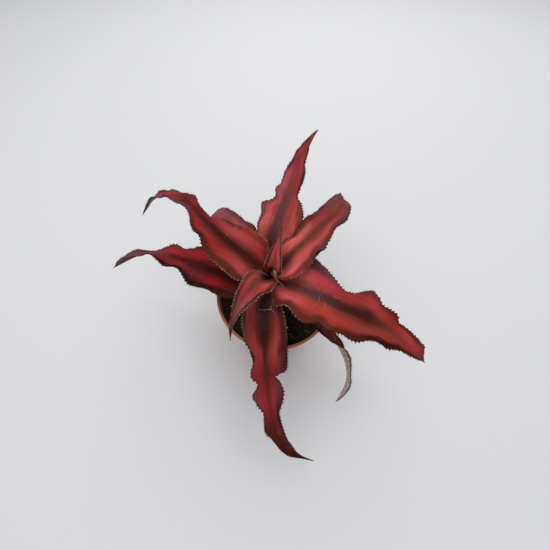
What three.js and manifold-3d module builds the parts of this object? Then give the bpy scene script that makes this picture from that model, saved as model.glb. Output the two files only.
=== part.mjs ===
// Potted earth star bromeliad: a flat rosette of long, waved, spiny leaves in a 9 cm nursery pot.
// Millimetres, +Z up. The origin is the middle of the pot's base, on the surface that it stands on.
import * as THREE from 'three';
import { mergeVertices } from 'three/addons/utils/BufferGeometryUtils.js';
import Module from 'manifold-3d';

const wasm = await Module();
wasm.setup();

// Driving dimensions of the pot
const POT_HEIGHT = 68;
const RIM_RADIUS = 45;
const FOOT_RADIUS = 31;
const WALL = 1.2;
const RIM_WIDTH = 2.2;
const FLOOR = 2.4;
const COLLAR_HEIGHT = 9;
const COLLAR_STEP = 1.6;
const COLLAR_TAPER = 1;
const COLLAR_BEVEL = 0.6;
const LIP_RADIUS = 0.8;
const LIP_BEVEL = 0.4;
const FOOT_BEVEL = 1;
const FOOT_RECESS = 1.2;
const FOOT_RING_WIDTH = 4;
const CENTRE_PAD_RADIUS = 9;
const DRAIN_HOLES = 6;
const DRAIN_HOLE_RADIUS = 3.5;
const DRAIN_CIRCLE_RADIUS = 18;
const DRAIN_SIDES = 12;
const POT_SIDES = 48;

// The clearance between pieces that touch, and the distance at which shared corners are joined
const GAP = 0.3;
const MERGE_DISTANCE = 0.0005;

// Driving dimensions of the soil and of the crown that stands in it
const SOIL_HEIGHT = 64;
const CRUMB_HEIGHT = 1;
const CRUMB_PITCH = 1.05;
const CRUMB_BEND = 0.6;
const SOIL_RINGS = 9;
const CROWN_X = -3;
const CROWN_Y = 3;
const CROWN_FOOT_HEIGHT = 50;
const CROWN_RADIUS = 8.2;
const CROWN_BEVEL = 1.5;
const CROWN_TOP_RADIUS = 2.2;
const CROWN_SHOULDER = 67;
const CROWN_TOP = 91;
const CROWN_SIDES = 24;

// Driving dimensions that all leaves share
const STATION_STEP = 4;
const MIDRIB_THICKNESS = 1.4;
const BLADE_THICKNESS = 1.0;
const MARGIN_THICKNESS = 0.6;
const TIP_THINNING = 0.35;
const SPINE_LENGTH = 1.0;
const SPINE_LEAN = 0.75;
const INNER_COLUMN = 0.55;
const COLUMNS = [-1, -INNER_COLUMN, 0, INNER_COLUMN, 1];
const TIP_HALF_WIDTH = 0.45;
const FOLD_CURVE = 1.5;
const WAVE_CURVE = 2.5;
const WAVE_START = 0.2;
const WAVE_END = 0.25;

// Each leaf: where its midrib runs, as reach from the crown's axis, height, and sweep to its left;
// then its two edges, as distance along the midrib and half width; the angle in degrees by which
// each half is raised, evenly from base to tip; its twist in degrees; and the waves of its edges.
const LEAVES = [
  {
    name: 'leaf_north',
    colour: 0xa02a35,
    azimuth: 76,
    midrib: [[6.5, 77.5, 0], [17, 83, 4], [28, 90, 6.5], [46, 101, 3.5], [64, 108, 1.5], [85, 113, 0],
      [106, 115, -3.3], [136, 113, -8]],
    left: [[0, 4.5], [12, 6], [22, 9], [32, 12.8], [40, 13.4], [49, 16], [53, 10.2], [57, 7.9],
      [61.5, 9.4], [67, 7.6], [79, 7.4], [90, 4.9], [96, 5.4], [102, 6.2], [110, 4.1], [118, 2.8],
      [130, 2.2], [140, 0.5]],
    right: [[0, 4.5], [12, 6], [22, 9], [32, 13], [45, 17.9], [57, 12], [61.5, 8], [66, 7.7],
      [74, 8.5], [85, 7.1], [92, 4.7], [101, 3.7], [107, 2.2], [114, 1], [140, 0.4]],
    fold: [20, 18, 14, 12, 12, 15],
    twist: [0, 0],
    waves: { count: 5, lift: 1.6, left: 0.1, right: 0.6 },
  },
  {
    name: 'leaf_northeast',
    colour: 0xb03a42,
    azimuth: 38,
    midrib: [[4.75, 84.5, 0], [10, 93, -1], [18, 100, -1.4], [30, 106, -1.6], [41, 110, -2.2],
      [55, 112.5, -1], [63.5, 112, 2], [69.5, 109.5, 5], [72, 105, 7]],
    left: [[0, 4], [10, 8], [23, 10.4], [30, 8.5], [40, 10.8], [49, 11.3], [60, 9.1], [68, 9.7],
      [74, 8.4], [80, 5.2], [84, 3], [87, 0.8]],
    right: [[0, 4], [8, 12], [14, 16.5], [26, 16.6], [33, 13.1], [37, 14.7], [41, 12.4], [46, 10],
      [52, 7.7], [60, 8.5], [67, 7.1], [72, 5.2], [80, 2.8], [87, 0.6]],
    fold: [25, 20, 12, 8, 8],
    twist: [0, 0],
    waves: { count: 4, lift: 1.5, left: 0.3, right: 0.8 },
  },
  {
    name: 'leaf_northwest',
    colour: 0xa82c34,
    azimuth: 142,
    midrib: [[5.05, 83, 0], [13, 91, 2], [22, 98, 3], [36, 105, 4.7], [50, 108, 3.6], [66, 107, 0.7],
      [82, 104, -3.3], [101, 97.5, -4.4], [112, 93, -1.6], [122.6, 88, 1], [129.5, 82.5, 4.6],
      [136.4, 74, 8.6], [142, 65.5, 15.4]],
    left: [[0, 4], [8, 12], [16, 19.8], [28, 20], [42, 15.8], [49, 11.6], [54, 12], [66, 7.6],
      [74, 4.8], [79, 4.9], [84, 6.2], [96, 5], [106, 5.8], [113, 4.8], [121, 2.2], [136, 2], [152, 2],
      [164, 0.4]],
    right: [[0, 4], [8, 11], [17, 17], [30, 14.2], [42, 9.6], [50, 8.6], [56, 4.9], [62, 4],
      [70, 3.7], [79, 5], [88, 7.7], [94, 4.8], [100, 3.4], [106, 5.2], [112.5, 7.4], [118, 4.9],
      [128, 3.3], [146, 2.8], [156, 2.2], [164, 0.4]],
    fold: [25, 20, 12, 8, 8, 12, 40, 50, 50],
    twist: [0, 0],
    waves: { count: 6, lift: 1.6, left: 0.2, right: 0.7 },
  },
  {
    name: 'leaf_west',
    colour: 0x7d1f28,
    azimuth: 169,
    midrib: [[8, 74, 0], [15, 78, 4], [25, 82, 7], [38, 85.5, 4], [57, 88, 2.3], [79, 85, -3],
      [95, 80, -4.7], [106, 75.3, -4.9], [117, 69.5, -3], [128, 63.7, 0.8], [137, 59, 4.6]],
    left: [[0, 4.5], [10, 8], [21, 15.4], [28, 16.8], [43, 16.9], [49, 15.9], [57, 9.4], [61, 8.2],
      [66, 9.7], [73, 9.8], [80, 7.6], [88, 4.2], [94, 2.8], [104, 1.6], [112, 1.8], [122, 2.6],
      [132, 2.2], [141, 0.4]],
    right: [[0, 4.5], [10, 8], [22, 13], [34, 16], [48, 14.3], [56, 12.6], [67, 8.7], [73, 9.1],
      [80, 4.9], [84, 3.7], [92, 3], [101, 2.2], [108, 3.4], [118, 5.5], [126, 4], [134, 2.6],
      [141, 0.4]],
    fold: [15, 15, 12, 10, 12, 40, 50, 50],
    twist: [0, 0],
    waves: { count: 5, lift: 1.5, left: 0, right: 0.5 },
  },
  {
    name: 'leaf_southeast',
    colour: 0xb02c33,
    azimuth: 330,
    midrib: [[5.4, 80.3, 0], [17, 87.5, 0.4], [28, 92, -1], [43, 95, -0.8], [58, 95, 0], [74, 92, 1.8],
      [90, 86, 3], [114, 74, 0]],
    left: [[0, 4], [8, 13], [17, 21.6], [26, 21.2], [38, 14.8], [48, 10.4], [54, 10.4], [60, 14.4],
      [66, 18], [69.5, 16.8], [75, 12], [80, 10.9], [83, 10.6], [87.5, 7.6], [93, 9], [103, 8],
      [112, 7.2], [116, 1.8]],
    right: [[0, 4], [6, 14], [13, 21], [19, 21], [23, 17.8], [29, 21], [35, 21.5], [41, 18.1],
      [47, 20], [55, 17.4], [63, 17.8], [71, 13.6], [79, 11.5], [86, 11.6], [93, 8.6], [99, 6.2],
      [107, 3.4], [116, 0.6]],
    fold: [20, 15, 8, 5, 5, 8],
    twist: [0, 0],
    waves: { count: 5, lift: 1.5, left: 0.75, right: 0.2 },
  },
  {
    name: 'leaf_south',
    colour: 0x97242f,
    azimuth: 268,
    midrib: [[7, 75.5, 0], [19, 81.5, -4.2], [30, 84.5, -3.1], [49, 82, -2.1], [62, 76, -0.8],
      [75, 68, 1.6], [89, 58, 4.2], [102, 47, 10.2], [108, 42, 16.8], [113, 34, 33]],
    left: [[0, 4.5], [12, 8], [24, 12.4], [34, 14.4], [56, 13.6], [61, 11.4], [63.5, 6], [67, 7.8],
      [73, 9.6], [80, 7.6], [87, 5.3], [104, 5.3], [115, 5.2], [126, 1.8], [139, 0.4]],
    right: [[0, 4.5], [14, 9], [25, 14.2], [40, 12.4], [47, 8.4], [52, 6.6], [60.5, 9.2], [66, 5.6],
      [73, 9.6], [80, 8.2], [87, 4.4], [97, 5.9], [108, 4], [118, 1.8], [139, 0.4]],
    fold: [18, 15, 12, 10, 10, 10],
    twist: [0, 0],
    waves: { count: 5, lift: 1.5, left: 0.4, right: 0.9 },
  },
  {
    name: 'leaf_behind_northeast',
    colour: 0x8a2632,
    azimuth: 50,
    midrib: [[7.55, 71.5, 0], [18, 77, -1], [30, 83, -3], [45, 89, -5], [60, 93, -4.5], [75, 95, -2],
      [93.5, 94, 3.3]],
    left: [[0, 4.5], [14, 9], [28, 13], [44, 14], [52, 14], [60, 9.9], [69, 8.5], [77, 6.2], [84, 3.8],
      [90, 1.8], [94, 0.6]],
    right: [[0, 4.5], [14, 9], [28, 12], [44, 11], [56, 9.7], [65, 13], [72, 12.2], [80, 8.8], [84, 4.4],
      [90, 2], [94, 0.6]],
    fold: [15, 12, 8, 8],
    twist: [0, 0],
    waves: { count: 4, lift: 1.2, left: 0.5, right: 0 },
  },
  {
    name: 'leaf_behind_northwest',
    colour: 0x9c4a5c,
    azimuth: 130,
    midrib: [[8.05, 69.5, 0], [18, 75, 0], [30, 80.5, 0], [45, 86.5, 0.5], [60, 89.5, 1], [69, 89.5, 1.5],
      [76, 84, 2], [78, 77, 2]],
    left: [[0, 4.5], [14, 9], [28, 13], [44, 14], [60, 12], [73, 8], [90, 0.4]],
    right: [[0, 4.5], [14, 9], [28, 15.6], [38, 17.4], [44, 15.3], [50, 15], [60, 11.8], [67, 11], [76, 7.8], [90, 0.4]],
    fold: [15, 12, 8, 8],
    twist: [0, 0],
    waves: { count: 4, lift: 1.2, left: 0, right: 0.4 },
  },
  {
    name: 'leaf_under_southeast',
    colour: 0x6e2029,
    azimuth: 322,
    midrib: [[8.45, 68.3, 0], [17, 74, -0.5], [27, 77.5, -1.3], [39, 78.5, -3], [48, 77.5, -4.6],
      [57.2, 74, -6.6], [63.7, 70, -7.4], [68.6, 65.2, -8.3], [73.7, 59.6, -9.8], [77.8, 54, -11.7],
      [81.9, 47.5, -14.4], [84.9, 41, -17.5], [86.9, 34, -22.6], [88.3, 25.5, -31.5]],
    left: [[0, 4.5], [12, 7], [25, 9], [40, 7.6], [48, 5], [56, 3.2], [64, 2.8], [78, 2.6], [98, 2.6],
      [108, 2], [116, 1.3], [124, 0.4]],
    right: [[0, 4.5], [12, 5], [25, 5.5], [40, 6.5], [50, 6.4], [60, 4.4], [66, 3.9], [74, 3.1],
      [88, 3.1], [98, 3.4], [106, 2.7], [114, 1.7], [124, 0.4]],
    fold: [15, 15, 12, 12, 30, 60, 60, 55, 50, 40],
    twist: [0, 0, -4, -8, -25, -75, -85, -80, -60, -50],
    waves: { count: 4, lift: 1, left: 0.2, right: 0.7 },
  },
  {
    name: 'leaf_under_south',
    colour: 0x4a1a20,
    azimuth: 258,
    midrib: [[8.8, 66.3, 0], [20, 71, 0], [32, 73.5, 0], [45, 71.5, 0], [57.6, 65, 0]],
    left: [[0, 4.5], [14, 8], [28, 8], [40, 4], [52, 0.4]],
    right: [[0, 4.5], [14, 8], [28, 8], [40, 4], [52, 0.4]],
    fold: [12, 12],
    twist: [0, 0],
    waves: { count: 2, lift: 0.8, left: 0.2, right: 0.7 },
  },
  {
    name: 'leaf_inner_southwest',
    colour: 0x9e3a42,
    azimuth: 237,
    midrib: [[3.8, 88, 0], [10, 94.5, 0.3], [15, 98, -1.5], [26, 101, -0.8], [36, 99, -0.2],
      [45, 93, 1.2], [52, 86, 4.4]],
    left: [[0, 3.5], [8, 10], [15, 15], [22, 15], [25, 11], [30, 8.8], [38, 5.8], [46, 2.6], [58, 0.4]],
    right: [[0, 3.5], [7, 7], [13, 8.6], [20, 7.2], [28, 5.4], [38, 3], [46, 1.4], [58, 0.4]],
    fold: [25, 20, 30, 30],
    twist: [0, 0],
    waves: { count: 3, lift: 0.5, left: 0.2, right: 0.7 },
  },
  {
    name: 'leaf_inner_north',
    colour: 0x93353e,
    azimuth: 60,
    midrib: [[3.8, 89.5, 0], [3, 97, -1], [5.2, 112, -1.2], [12, 127, -1.3]],
    left: [[0, 3.2], [6, 6.4], [12, 5.5], [20, 3.8], [30, 1.6], [39, 0.4]],
    right: [[0, 3.2], [6, 8], [10, 9.6], [20, 6.8], [30, 3], [39, 0.4]],
    fold: [35, 30, 30],
    twist: [0, 0],
    waves: { count: 2, lift: 0.3, left: 0.2, right: 0.7 },
  },
  {
    name: 'heart_leaf_south',
    colour: 0xa8a285,
    azimuth: 302,
    midrib: [[3.1, 91.3, 0], [4.3, 98, -0.8], [7, 103.5, -2.8], [11.5, 106, -4.2], [15.5, 104.8, -3.1],
      [19.2, 101.5, -1.5]],
    left: [[0, 2.2], [8, 2.6], [14, 1.6], [20, 0.9], [30, 0.4]],
    right: [[0, 2.2], [8, 2.6], [14, 1.6], [20, 0.9], [30, 0.4]],
    fold: [35, 30, 20],
    twist: [0, 0],
    waves: { count: 1, lift: 0, left: 0, right: 0 },
  },
  {
    name: 'heart_leaf_west',
    colour: 0x8d9264,
    azimuth: 200,
    midrib: [[3.6, 90.5, 0], [4.6, 94, 1], [6.2, 97.5, 0.8], [7.2, 101, -0.5]],
    left: [[0, 2], [6, 2], [12, 0.5]],
    right: [[0, 2], [6, 2.4], [12, 0.5]],
    fold: [35, 30],
    twist: [0, 0],
    waves: { count: 1, lift: 0, left: 0, right: 0 },
  },
];

// A value that changes smoothly along pairs of distance and value.
function alongPairs(pairs, distance) {
  let i = 0;
  while (i < pairs.length - 2 && distance > pairs[i + 1][0]) i += 1;
  const slopeAt = (k) => {
    const before = pairs[Math.max(k - 1, 0)];
    const after = pairs[Math.min(k + 1, pairs.length - 1)];
    return (after[1] - before[1]) / (after[0] - before[0]);
  };
  const [start, startValue] = pairs[i];
  const [end, endValue] = pairs[i + 1];
  const span = end - start;
  const t = THREE.MathUtils.clamp((distance - start) / span, 0, 1);
  const t2 = t * t;
  const t3 = t2 * t;
  return (2 * t3 - 3 * t2 + 1) * startValue + (t3 - 2 * t2 + t) * span * slopeAt(i)
    + (3 * t2 - 2 * t3) * endValue + (t3 - t2) * span * slopeAt(i + 1);
}

// A value that changes along an even list, at a share from 0 to 1.
function alongList(values, share) {
  const last = values.length - 1;
  const pairs = values.map((value, i) => [i / last, value]);
  return alongPairs(pairs, share);
}

function leafDirections(leaf) {
  const turn = THREE.MathUtils.degToRad(leaf.azimuth);
  const out = new THREE.Vector3(Math.cos(turn), Math.sin(turn), 0);
  const left = new THREE.Vector3(-Math.sin(turn), Math.cos(turn), 0);
  return { out, left };
}

function leafMidrib(leaf) {
  const { out, left } = leafDirections(leaf);
  const points = leaf.midrib.map(([reach, height, sweep]) => new THREE.Vector3(CROWN_X, CROWN_Y, height)
    .addScaledVector(out, reach).addScaledVector(left, sweep));
  return new THREE.CatmullRomCurve3(points, false, 'catmullrom');
}

// The points and directions of the midrib at even stations. The side direction is carried along
// the midrib without spinning, and then turned by the leaf's own twist.
function leafStations(leaf) {
  const curve = leafMidrib(leaf);
  const length = curve.getLength();
  const steps = Math.round(length / STATION_STEP);
  const points = curve.getSpacedPoints(steps);
  let side = leafDirections(leaf).left;
  return points.map((point, i) => {
    const ahead = points[Math.min(i + 1, steps)];
    const behind = points[Math.max(i - 1, 0)];
    const forward = new THREE.Vector3().subVectors(ahead, behind).normalize();
    side = side.clone().addScaledVector(forward, -side.dot(forward)).normalize();
    const up = new THREE.Vector3().crossVectors(forward, side);
    const twist = THREE.MathUtils.degToRad(alongList(leaf.twist, i / steps));
    return {
      point,
      share: i / steps,
      distance: length * i / steps,
      side: side.clone().multiplyScalar(Math.cos(twist)).addScaledVector(up, Math.sin(twist)),
      up: up.clone().multiplyScalar(Math.cos(twist)).addScaledVector(side, -Math.sin(twist)),
    };
  });
}

// How far the waves raise the edge: none at the base or the tip.
function waveLift(leaf, share, sign) {
  const { count, lift, left, right } = leaf.waves;
  const rise = THREE.MathUtils.clamp(share / WAVE_START, 0, 1);
  const fade = THREE.MathUtils.clamp((1 - share) / WAVE_END, 0, 1);
  const phase = sign > 0 ? left : right;
  return lift * rise * fade * Math.sin(2 * Math.PI * (count * share + phase));
}

// A point of the blade's middle surface: across runs from -1 at the right edge to 1 at the left.
function bladePoint(leaf, station, across) {
  const sign = across < 0 ? -1 : 1;
  const reach = Math.abs(across);
  const edge = sign > 0 ? leaf.left : leaf.right;
  const halfWidth = Math.max(alongPairs(edge, station.distance), TIP_HALF_WIDTH);
  const fold = THREE.MathUtils.degToRad(alongList(leaf.fold, station.share));
  const sideways = sign * halfWidth * reach * Math.cos(fold);
  const raised = halfWidth * Math.sin(fold) * reach ** FOLD_CURVE
    + waveLift(leaf, station.share, sign) * reach ** WAVE_CURVE;
  return station.point.clone().addScaledVector(station.side, sideways)
    .addScaledVector(station.up, raised);
}

function bladeThickness(across, share) {
  const reach = Math.abs(across);
  const thick = reach === 0 ? MIDRIB_THICKNESS : (reach < 1 ? BLADE_THICKNESS : MARGIN_THICKNESS);
  return Math.max(thick * (1 - TIP_THINNING * share), MARGIN_THICKNESS);
}

// A spine's tip: between two stations, just outside the edge, leaning to the leaf's tip.
function spineTip(leaf, station, next, sign) {
  const edgeHere = bladePoint(leaf, station, sign);
  const edgeNext = bladePoint(leaf, next, sign);
  const inner = bladePoint(leaf, next, sign * INNER_COLUMN);
  const outward = new THREE.Vector3().subVectors(edgeNext, inner).normalize();
  return edgeHere.lerp(edgeNext, SPINE_LEAN).addScaledVector(outward, SPINE_LENGTH);
}

// One closed leaf: two skins split alike, a spine in each step of each edge, a cap and a tip.
function leafGeometry(leaf) {
  const stations = leafStations(leaf);
  const columns = COLUMNS.length;
  const last = stations.length - 2;
  const positions = [];
  const faces = [];
  const addPoint = (point) => positions.push(point.x, point.y, point.z) / 3 - 1;
  const rows = stations.slice(0, last + 1).map((station) => {
    const skins = COLUMNS.map((across) => {
      const half = bladeThickness(across, station.share) / 2;
      const middle = bladePoint(leaf, station, across);
      return [middle.clone().addScaledVector(station.up, half), middle.addScaledVector(station.up, -half)];
    });
    return { top: skins.map(([top]) => addPoint(top)), bottom: skins.map(([, bottom]) => addPoint(bottom)) };
  });
  for (let i = 0; i < last; i += 1) {
    const here = rows[i];
    const next = rows[i + 1];
    for (let j = 0; j < columns - 1; j += 1) {
      faces.push(here.top[j], next.top[j], next.top[j + 1], here.top[j], next.top[j + 1], here.top[j + 1]);
      faces.push(here.bottom[j], next.bottom[j + 1], next.bottom[j]);
      faces.push(here.bottom[j], here.bottom[j + 1], next.bottom[j + 1]);
    }
    for (const [sign, j] of [[-1, 0], [1, columns - 1]]) {
      const tip = addPoint(spineTip(leaf, stations[i], stations[i + 1], sign));
      const ring = [here.top[j], next.top[j], next.bottom[j], here.bottom[j]];
      if (sign > 0) ring.reverse();
      ring.forEach((corner, k) => faces.push(ring[(k + 1) % 4], corner, tip));
    }
  }
  const tip = addPoint(stations[last + 1].point);
  const capRings = [[rows[0], false], [rows[last], true]];
  for (const [row, isTip] of capRings) {
    const loop = [...row.top, ...[...row.bottom].reverse()];
    if (isTip) {
      loop.forEach((corner, k) => faces.push(loop[(k + 1) % loop.length], corner, tip));
    } else {
      for (let j = 0; j < columns - 1; j += 1) {
        faces.push(row.top[j], row.top[j + 1], row.bottom[j + 1]);
        faces.push(row.top[j], row.bottom[j + 1], row.bottom[j]);
      }
    }
  }
  const geometry = new THREE.BufferGeometry();
  geometry.setAttribute('position', new THREE.Float32BufferAttribute(positions, 3));
  geometry.setIndex(faces);
  geometry.computeVertexNormals();
  return geometry;
}

// A mesh as a solid, with its shared corners joined, and a solid as a mesh again.
function toSolid(geometry) {
  const bare = geometry.clone();
  bare.deleteAttribute('normal');
  bare.deleteAttribute('uv');
  const merged = mergeVertices(bare, MERGE_DISTANCE);
  const vertProperties = Float32Array.from(merged.attributes.position.array);
  const triVerts = Uint32Array.from(merged.index.array);
  return new wasm.Manifold(new wasm.Mesh({ numProp: 3, vertProperties, triVerts }));
}

function toGeometry(solid) {
  const { vertProperties, triVerts } = solid.getMesh();
  const geometry = new THREE.BufferGeometry();
  geometry.setAttribute('position', new THREE.BufferAttribute(vertProperties, 3));
  geometry.setIndex(new THREE.BufferAttribute(triVerts, 1));
  geometry.computeVertexNormals();
  return geometry;
}

// A body of revolution about +Z from pairs of radius and height.
function turned(profile, sides) {
  const outline = profile.map(([radius, height]) => new THREE.Vector2(radius, height));
  return new THREE.LatheGeometry(outline, sides).rotateX(Math.PI / 2);
}

const collarFoot = POT_HEIGHT - COLLAR_HEIGHT;
const wallTopRadius = RIM_RADIUS - COLLAR_TAPER - COLLAR_STEP;

// The inside of the pot's wall from the floor up to the lip, as pairs of radius and height.
const INSIDE_WALL = [
  [FOOT_RADIUS - WALL, FLOOR],
  [wallTopRadius - WALL, collarFoot - COLLAR_BEVEL],
  [wallTopRadius - WALL + COLLAR_BEVEL, collarFoot + COLLAR_STEP],
  [RIM_RADIUS - RIM_WIDTH, POT_HEIGHT - LIP_RADIUS],
];

function drainHole(index) {
  const angle = (2 * Math.PI * index) / DRAIN_HOLES;
  const depth = 4 * FLOOR;
  const drill = new THREE.CylinderGeometry(DRAIN_HOLE_RADIUS, DRAIN_HOLE_RADIUS, depth, DRAIN_SIDES);
  drill.rotateX(Math.PI / 2);
  drill.translate(DRAIN_CIRCLE_RADIUS * Math.cos(angle), DRAIN_CIRCLE_RADIUS * Math.sin(angle), 0);
  return toSolid(drill);
}

function potGeometry() {
  const ringInner = FOOT_RADIUS - FOOT_RING_WIDTH;
  const profile = [
    [0, 0],
    [CENTRE_PAD_RADIUS, 0],
    [CENTRE_PAD_RADIUS + FOOT_RECESS, FOOT_RECESS],
    [ringInner - FOOT_RECESS, FOOT_RECESS],
    [ringInner, 0],
    [FOOT_RADIUS - FOOT_BEVEL, 0],
    [FOOT_RADIUS, FOOT_BEVEL],
    [wallTopRadius, collarFoot],
    [RIM_RADIUS - COLLAR_TAPER, collarFoot + COLLAR_BEVEL],
    [RIM_RADIUS - LIP_BEVEL, POT_HEIGHT - 2 * LIP_RADIUS],
    [RIM_RADIUS, POT_HEIGHT - LIP_RADIUS],
    [RIM_RADIUS - LIP_BEVEL, POT_HEIGHT],
    [RIM_RADIUS - RIM_WIDTH + LIP_BEVEL, POT_HEIGHT],
    ...[...INSIDE_WALL].reverse(),
    [0, FLOOR],
  ];
  let pot = toSolid(turned(profile, POT_SIDES));
  for (let i = 0; i < DRAIN_HOLES; i += 1) pot = pot.subtract(drainHole(i));
  return toGeometry(pot);
}

// How far the soil reaches at a height: up to the wall, less a gap.
function soilRadius(height) {
  let i = 0;
  while (i < INSIDE_WALL.length - 2 && height > INSIDE_WALL[i + 1][1]) i += 1;
  const [lowRadius, low] = INSIDE_WALL[i];
  const [highRadius, high] = INSIDE_WALL[i + 1];
  return THREE.MathUtils.mapLinear(height, low, high, lowRadius, highRadius) - GAP;
}

// Low crumbs over the soil, from two crossed ripples, each bent by the other.
function crumb(x, y) {
  const along = Math.sin(CRUMB_PITCH * x + Math.sin(CRUMB_BEND * y));
  const across = Math.cos(CRUMB_PITCH * y + Math.sin(CRUMB_BEND * x));
  return CRUMB_HEIGHT * along * across;
}

// The soil fills the pot. Its top is moved over towards the crown and stands round the crown's foot.
function soilGeometry() {
  const holeRadius = CROWN_RADIUS + GAP;
  const holeFloor = CROWN_FOOT_HEIGHT - GAP;
  const outerRadius = soilRadius(SOIL_HEIGHT - CRUMB_HEIGHT);
  const wallHeights = [FLOOR + GAP, INSIDE_WALL[1][1], INSIDE_WALL[2][1]];
  const profile = [[0, FLOOR + GAP]];
  for (const height of wallHeights) profile.push([soilRadius(height), height]);
  for (let ring = 0; ring <= SOIL_RINGS; ring += 1) {
    profile.push([THREE.MathUtils.lerp(outerRadius, holeRadius, ring / SOIL_RINGS), SOIL_HEIGHT]);
  }
  profile.push([holeRadius, holeFloor], [0, holeFloor]);
  const bare = turned(profile, POT_SIDES).deleteAttribute('uv').deleteAttribute('normal');
  const geometry = mergeVertices(bare, MERGE_DISTANCE);
  const points = geometry.attributes.position;
  for (let i = 0; i < points.count; i += 1) {
    const x = points.getX(i);
    const y = points.getY(i);
    const radius = Math.hypot(x, y);
    const isTop = points.getZ(i) > SOIL_HEIGHT - GAP;
    const isHole = radius < holeRadius + GAP && points.getZ(i) > holeFloor - GAP;
    if (isTop) points.setZ(i, SOIL_HEIGHT + crumb(x, y));
    if (isTop || isHole) {
      const share = THREE.MathUtils.clamp((outerRadius - radius) / (outerRadius - holeRadius), 0, 1);
      points.setX(i, x + CROWN_X * share);
      points.setY(i, y + CROWN_Y * share);
    }
  }
  geometry.computeVertexNormals();
  return geometry;
}

// The crown: straight in the soil, then narrowing to its top.
function crownGeometry() {
  const profile = [
    [0, CROWN_FOOT_HEIGHT],
    [CROWN_RADIUS - CROWN_BEVEL, CROWN_FOOT_HEIGHT],
    [CROWN_RADIUS, CROWN_FOOT_HEIGHT + CROWN_BEVEL],
    [CROWN_RADIUS, CROWN_SHOULDER],
    [CROWN_TOP_RADIUS, CROWN_TOP],
    [0, CROWN_TOP],
  ];
  return turned(profile, CROWN_SIDES).translate(CROWN_X, CROWN_Y, 0);
}

function addPiece(group, name, geometry, colour, roughness) {
  const material = new THREE.MeshStandardMaterial({ color: colour, roughness, metalness: 0 });
  const mesh = new THREE.Mesh(geometry, material);
  mesh.name = name;
  group.add(mesh);
}

const group = new THREE.Group();
addPiece(group, 'pot', potGeometry(), 0xb5562b, 0.5);
addPiece(group, 'soil', soilGeometry(), 0x1a1512, 0.95);
addPiece(group, 'crown', crownGeometry(), 0x6f7a4a, 0.7);
for (const leaf of LEAVES) addPiece(group, leaf.name, leafGeometry(leaf), leaf.colour, 0.5);

export default group;
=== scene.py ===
# %% [markdown]
# # Potted earth star bromeliad
#
# An earth star is a flat rosette of stiff, waved leaves with small teeth along their edges, and it
# is sold in a small plastic nursery pot. The measured solids already hold its sizes and places. This
# lesson dresses them: each leaf becomes a finer blade on the same midrib, with real teeth and a
# striped finish, the soil gets its crumbs, and the pot its rolled rim. It starts with the solids.

# %% The measured model
import math
import random
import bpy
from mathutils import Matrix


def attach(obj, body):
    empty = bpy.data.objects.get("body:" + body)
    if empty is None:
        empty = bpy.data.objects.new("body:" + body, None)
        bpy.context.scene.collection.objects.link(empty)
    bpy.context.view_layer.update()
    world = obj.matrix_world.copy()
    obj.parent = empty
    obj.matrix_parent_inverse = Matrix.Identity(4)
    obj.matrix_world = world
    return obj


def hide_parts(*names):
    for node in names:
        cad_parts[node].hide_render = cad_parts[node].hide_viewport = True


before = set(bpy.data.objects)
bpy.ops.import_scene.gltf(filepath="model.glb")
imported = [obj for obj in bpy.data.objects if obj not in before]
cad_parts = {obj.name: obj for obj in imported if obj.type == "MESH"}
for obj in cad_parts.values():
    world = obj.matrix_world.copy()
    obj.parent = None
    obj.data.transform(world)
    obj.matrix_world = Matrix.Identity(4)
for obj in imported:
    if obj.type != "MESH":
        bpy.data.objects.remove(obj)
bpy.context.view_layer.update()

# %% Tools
from types import SimpleNamespace

import bmesh
import bpy
from mathutils import Matrix, Vector, noise
from mathutils.geometry import interpolate_bezier

MM = 0.001

# %% [markdown]
# ## The camera
#
# The photograph was taken close up from above with a wide lens. The ellipse of the pot's rim gives
# the tilt, and the way that straight lines run together gives the lens, so both are written here as
# they were worked out: the lens in pixels of the picture, and the camera's place in metres. A close
# wide lens makes the upper leaves look larger than the pot, and only the right distance shows that.

# %% The camera stands where the photographer stood
PHOTO_PIXELS = 550
LENS_PIXELS = 235
SENSOR_MM = 36
CAMERA_PLACE = (0.0, -0.076, 0.233)
CAMERA_TILT = math.radians(90 - 61.65)
NEAREST_SEEN = 0.005

camera_data = bpy.data.cameras.new("camera")
camera_data.sensor_width = SENSOR_MM
camera_data.lens = SENSOR_MM * LENS_PIXELS / PHOTO_PIXELS
camera_data.clip_start = NEAREST_SEEN
camera = bpy.data.objects.new("camera", camera_data)
camera.location = CAMERA_PLACE
camera.rotation_euler = (CAMERA_TILT, 0, 0)
bpy.context.scene.collection.objects.link(camera)
bpy.context.scene.camera = camera
print("lens", round(camera_data.lens, 2), "mm")

# %% [markdown]
# ## Finishes as sums
#
# A procedural finish is arithmetic on a place: how far across the leaf, how far along it, and some
# noise. Nodes that are linked one by one hide that arithmetic, so a small class wraps the output of a
# node and lets plus, minus and times add the Math nodes. Colours are mixed by a Mix node instead,
# because a Math node would turn them grey.


# %% A wire that can be added and multiplied
class Wire:
    def __init__(self, finish, socket):
        self.finish = finish
        self.socket = socket

    def _math(self, operation, first, second):
        return self.finish.node("ShaderNodeMath", {"operation": operation}, {0: first, 1: second})

    def __add__(self, other):
        return self._math("ADD", self, other)

    def __radd__(self, other):
        return self._math("ADD", other, self)

    def __sub__(self, other):
        return self._math("SUBTRACT", self, other)

    def __rsub__(self, other):
        return self._math("SUBTRACT", other, self)

    def __mul__(self, other):
        return self._math("MULTIPLY", self, other)

    def __rmul__(self, other):
        return self._math("MULTIPLY", other, self)

    def __truediv__(self, other):
        return self._math("DIVIDE", self, other)


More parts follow.
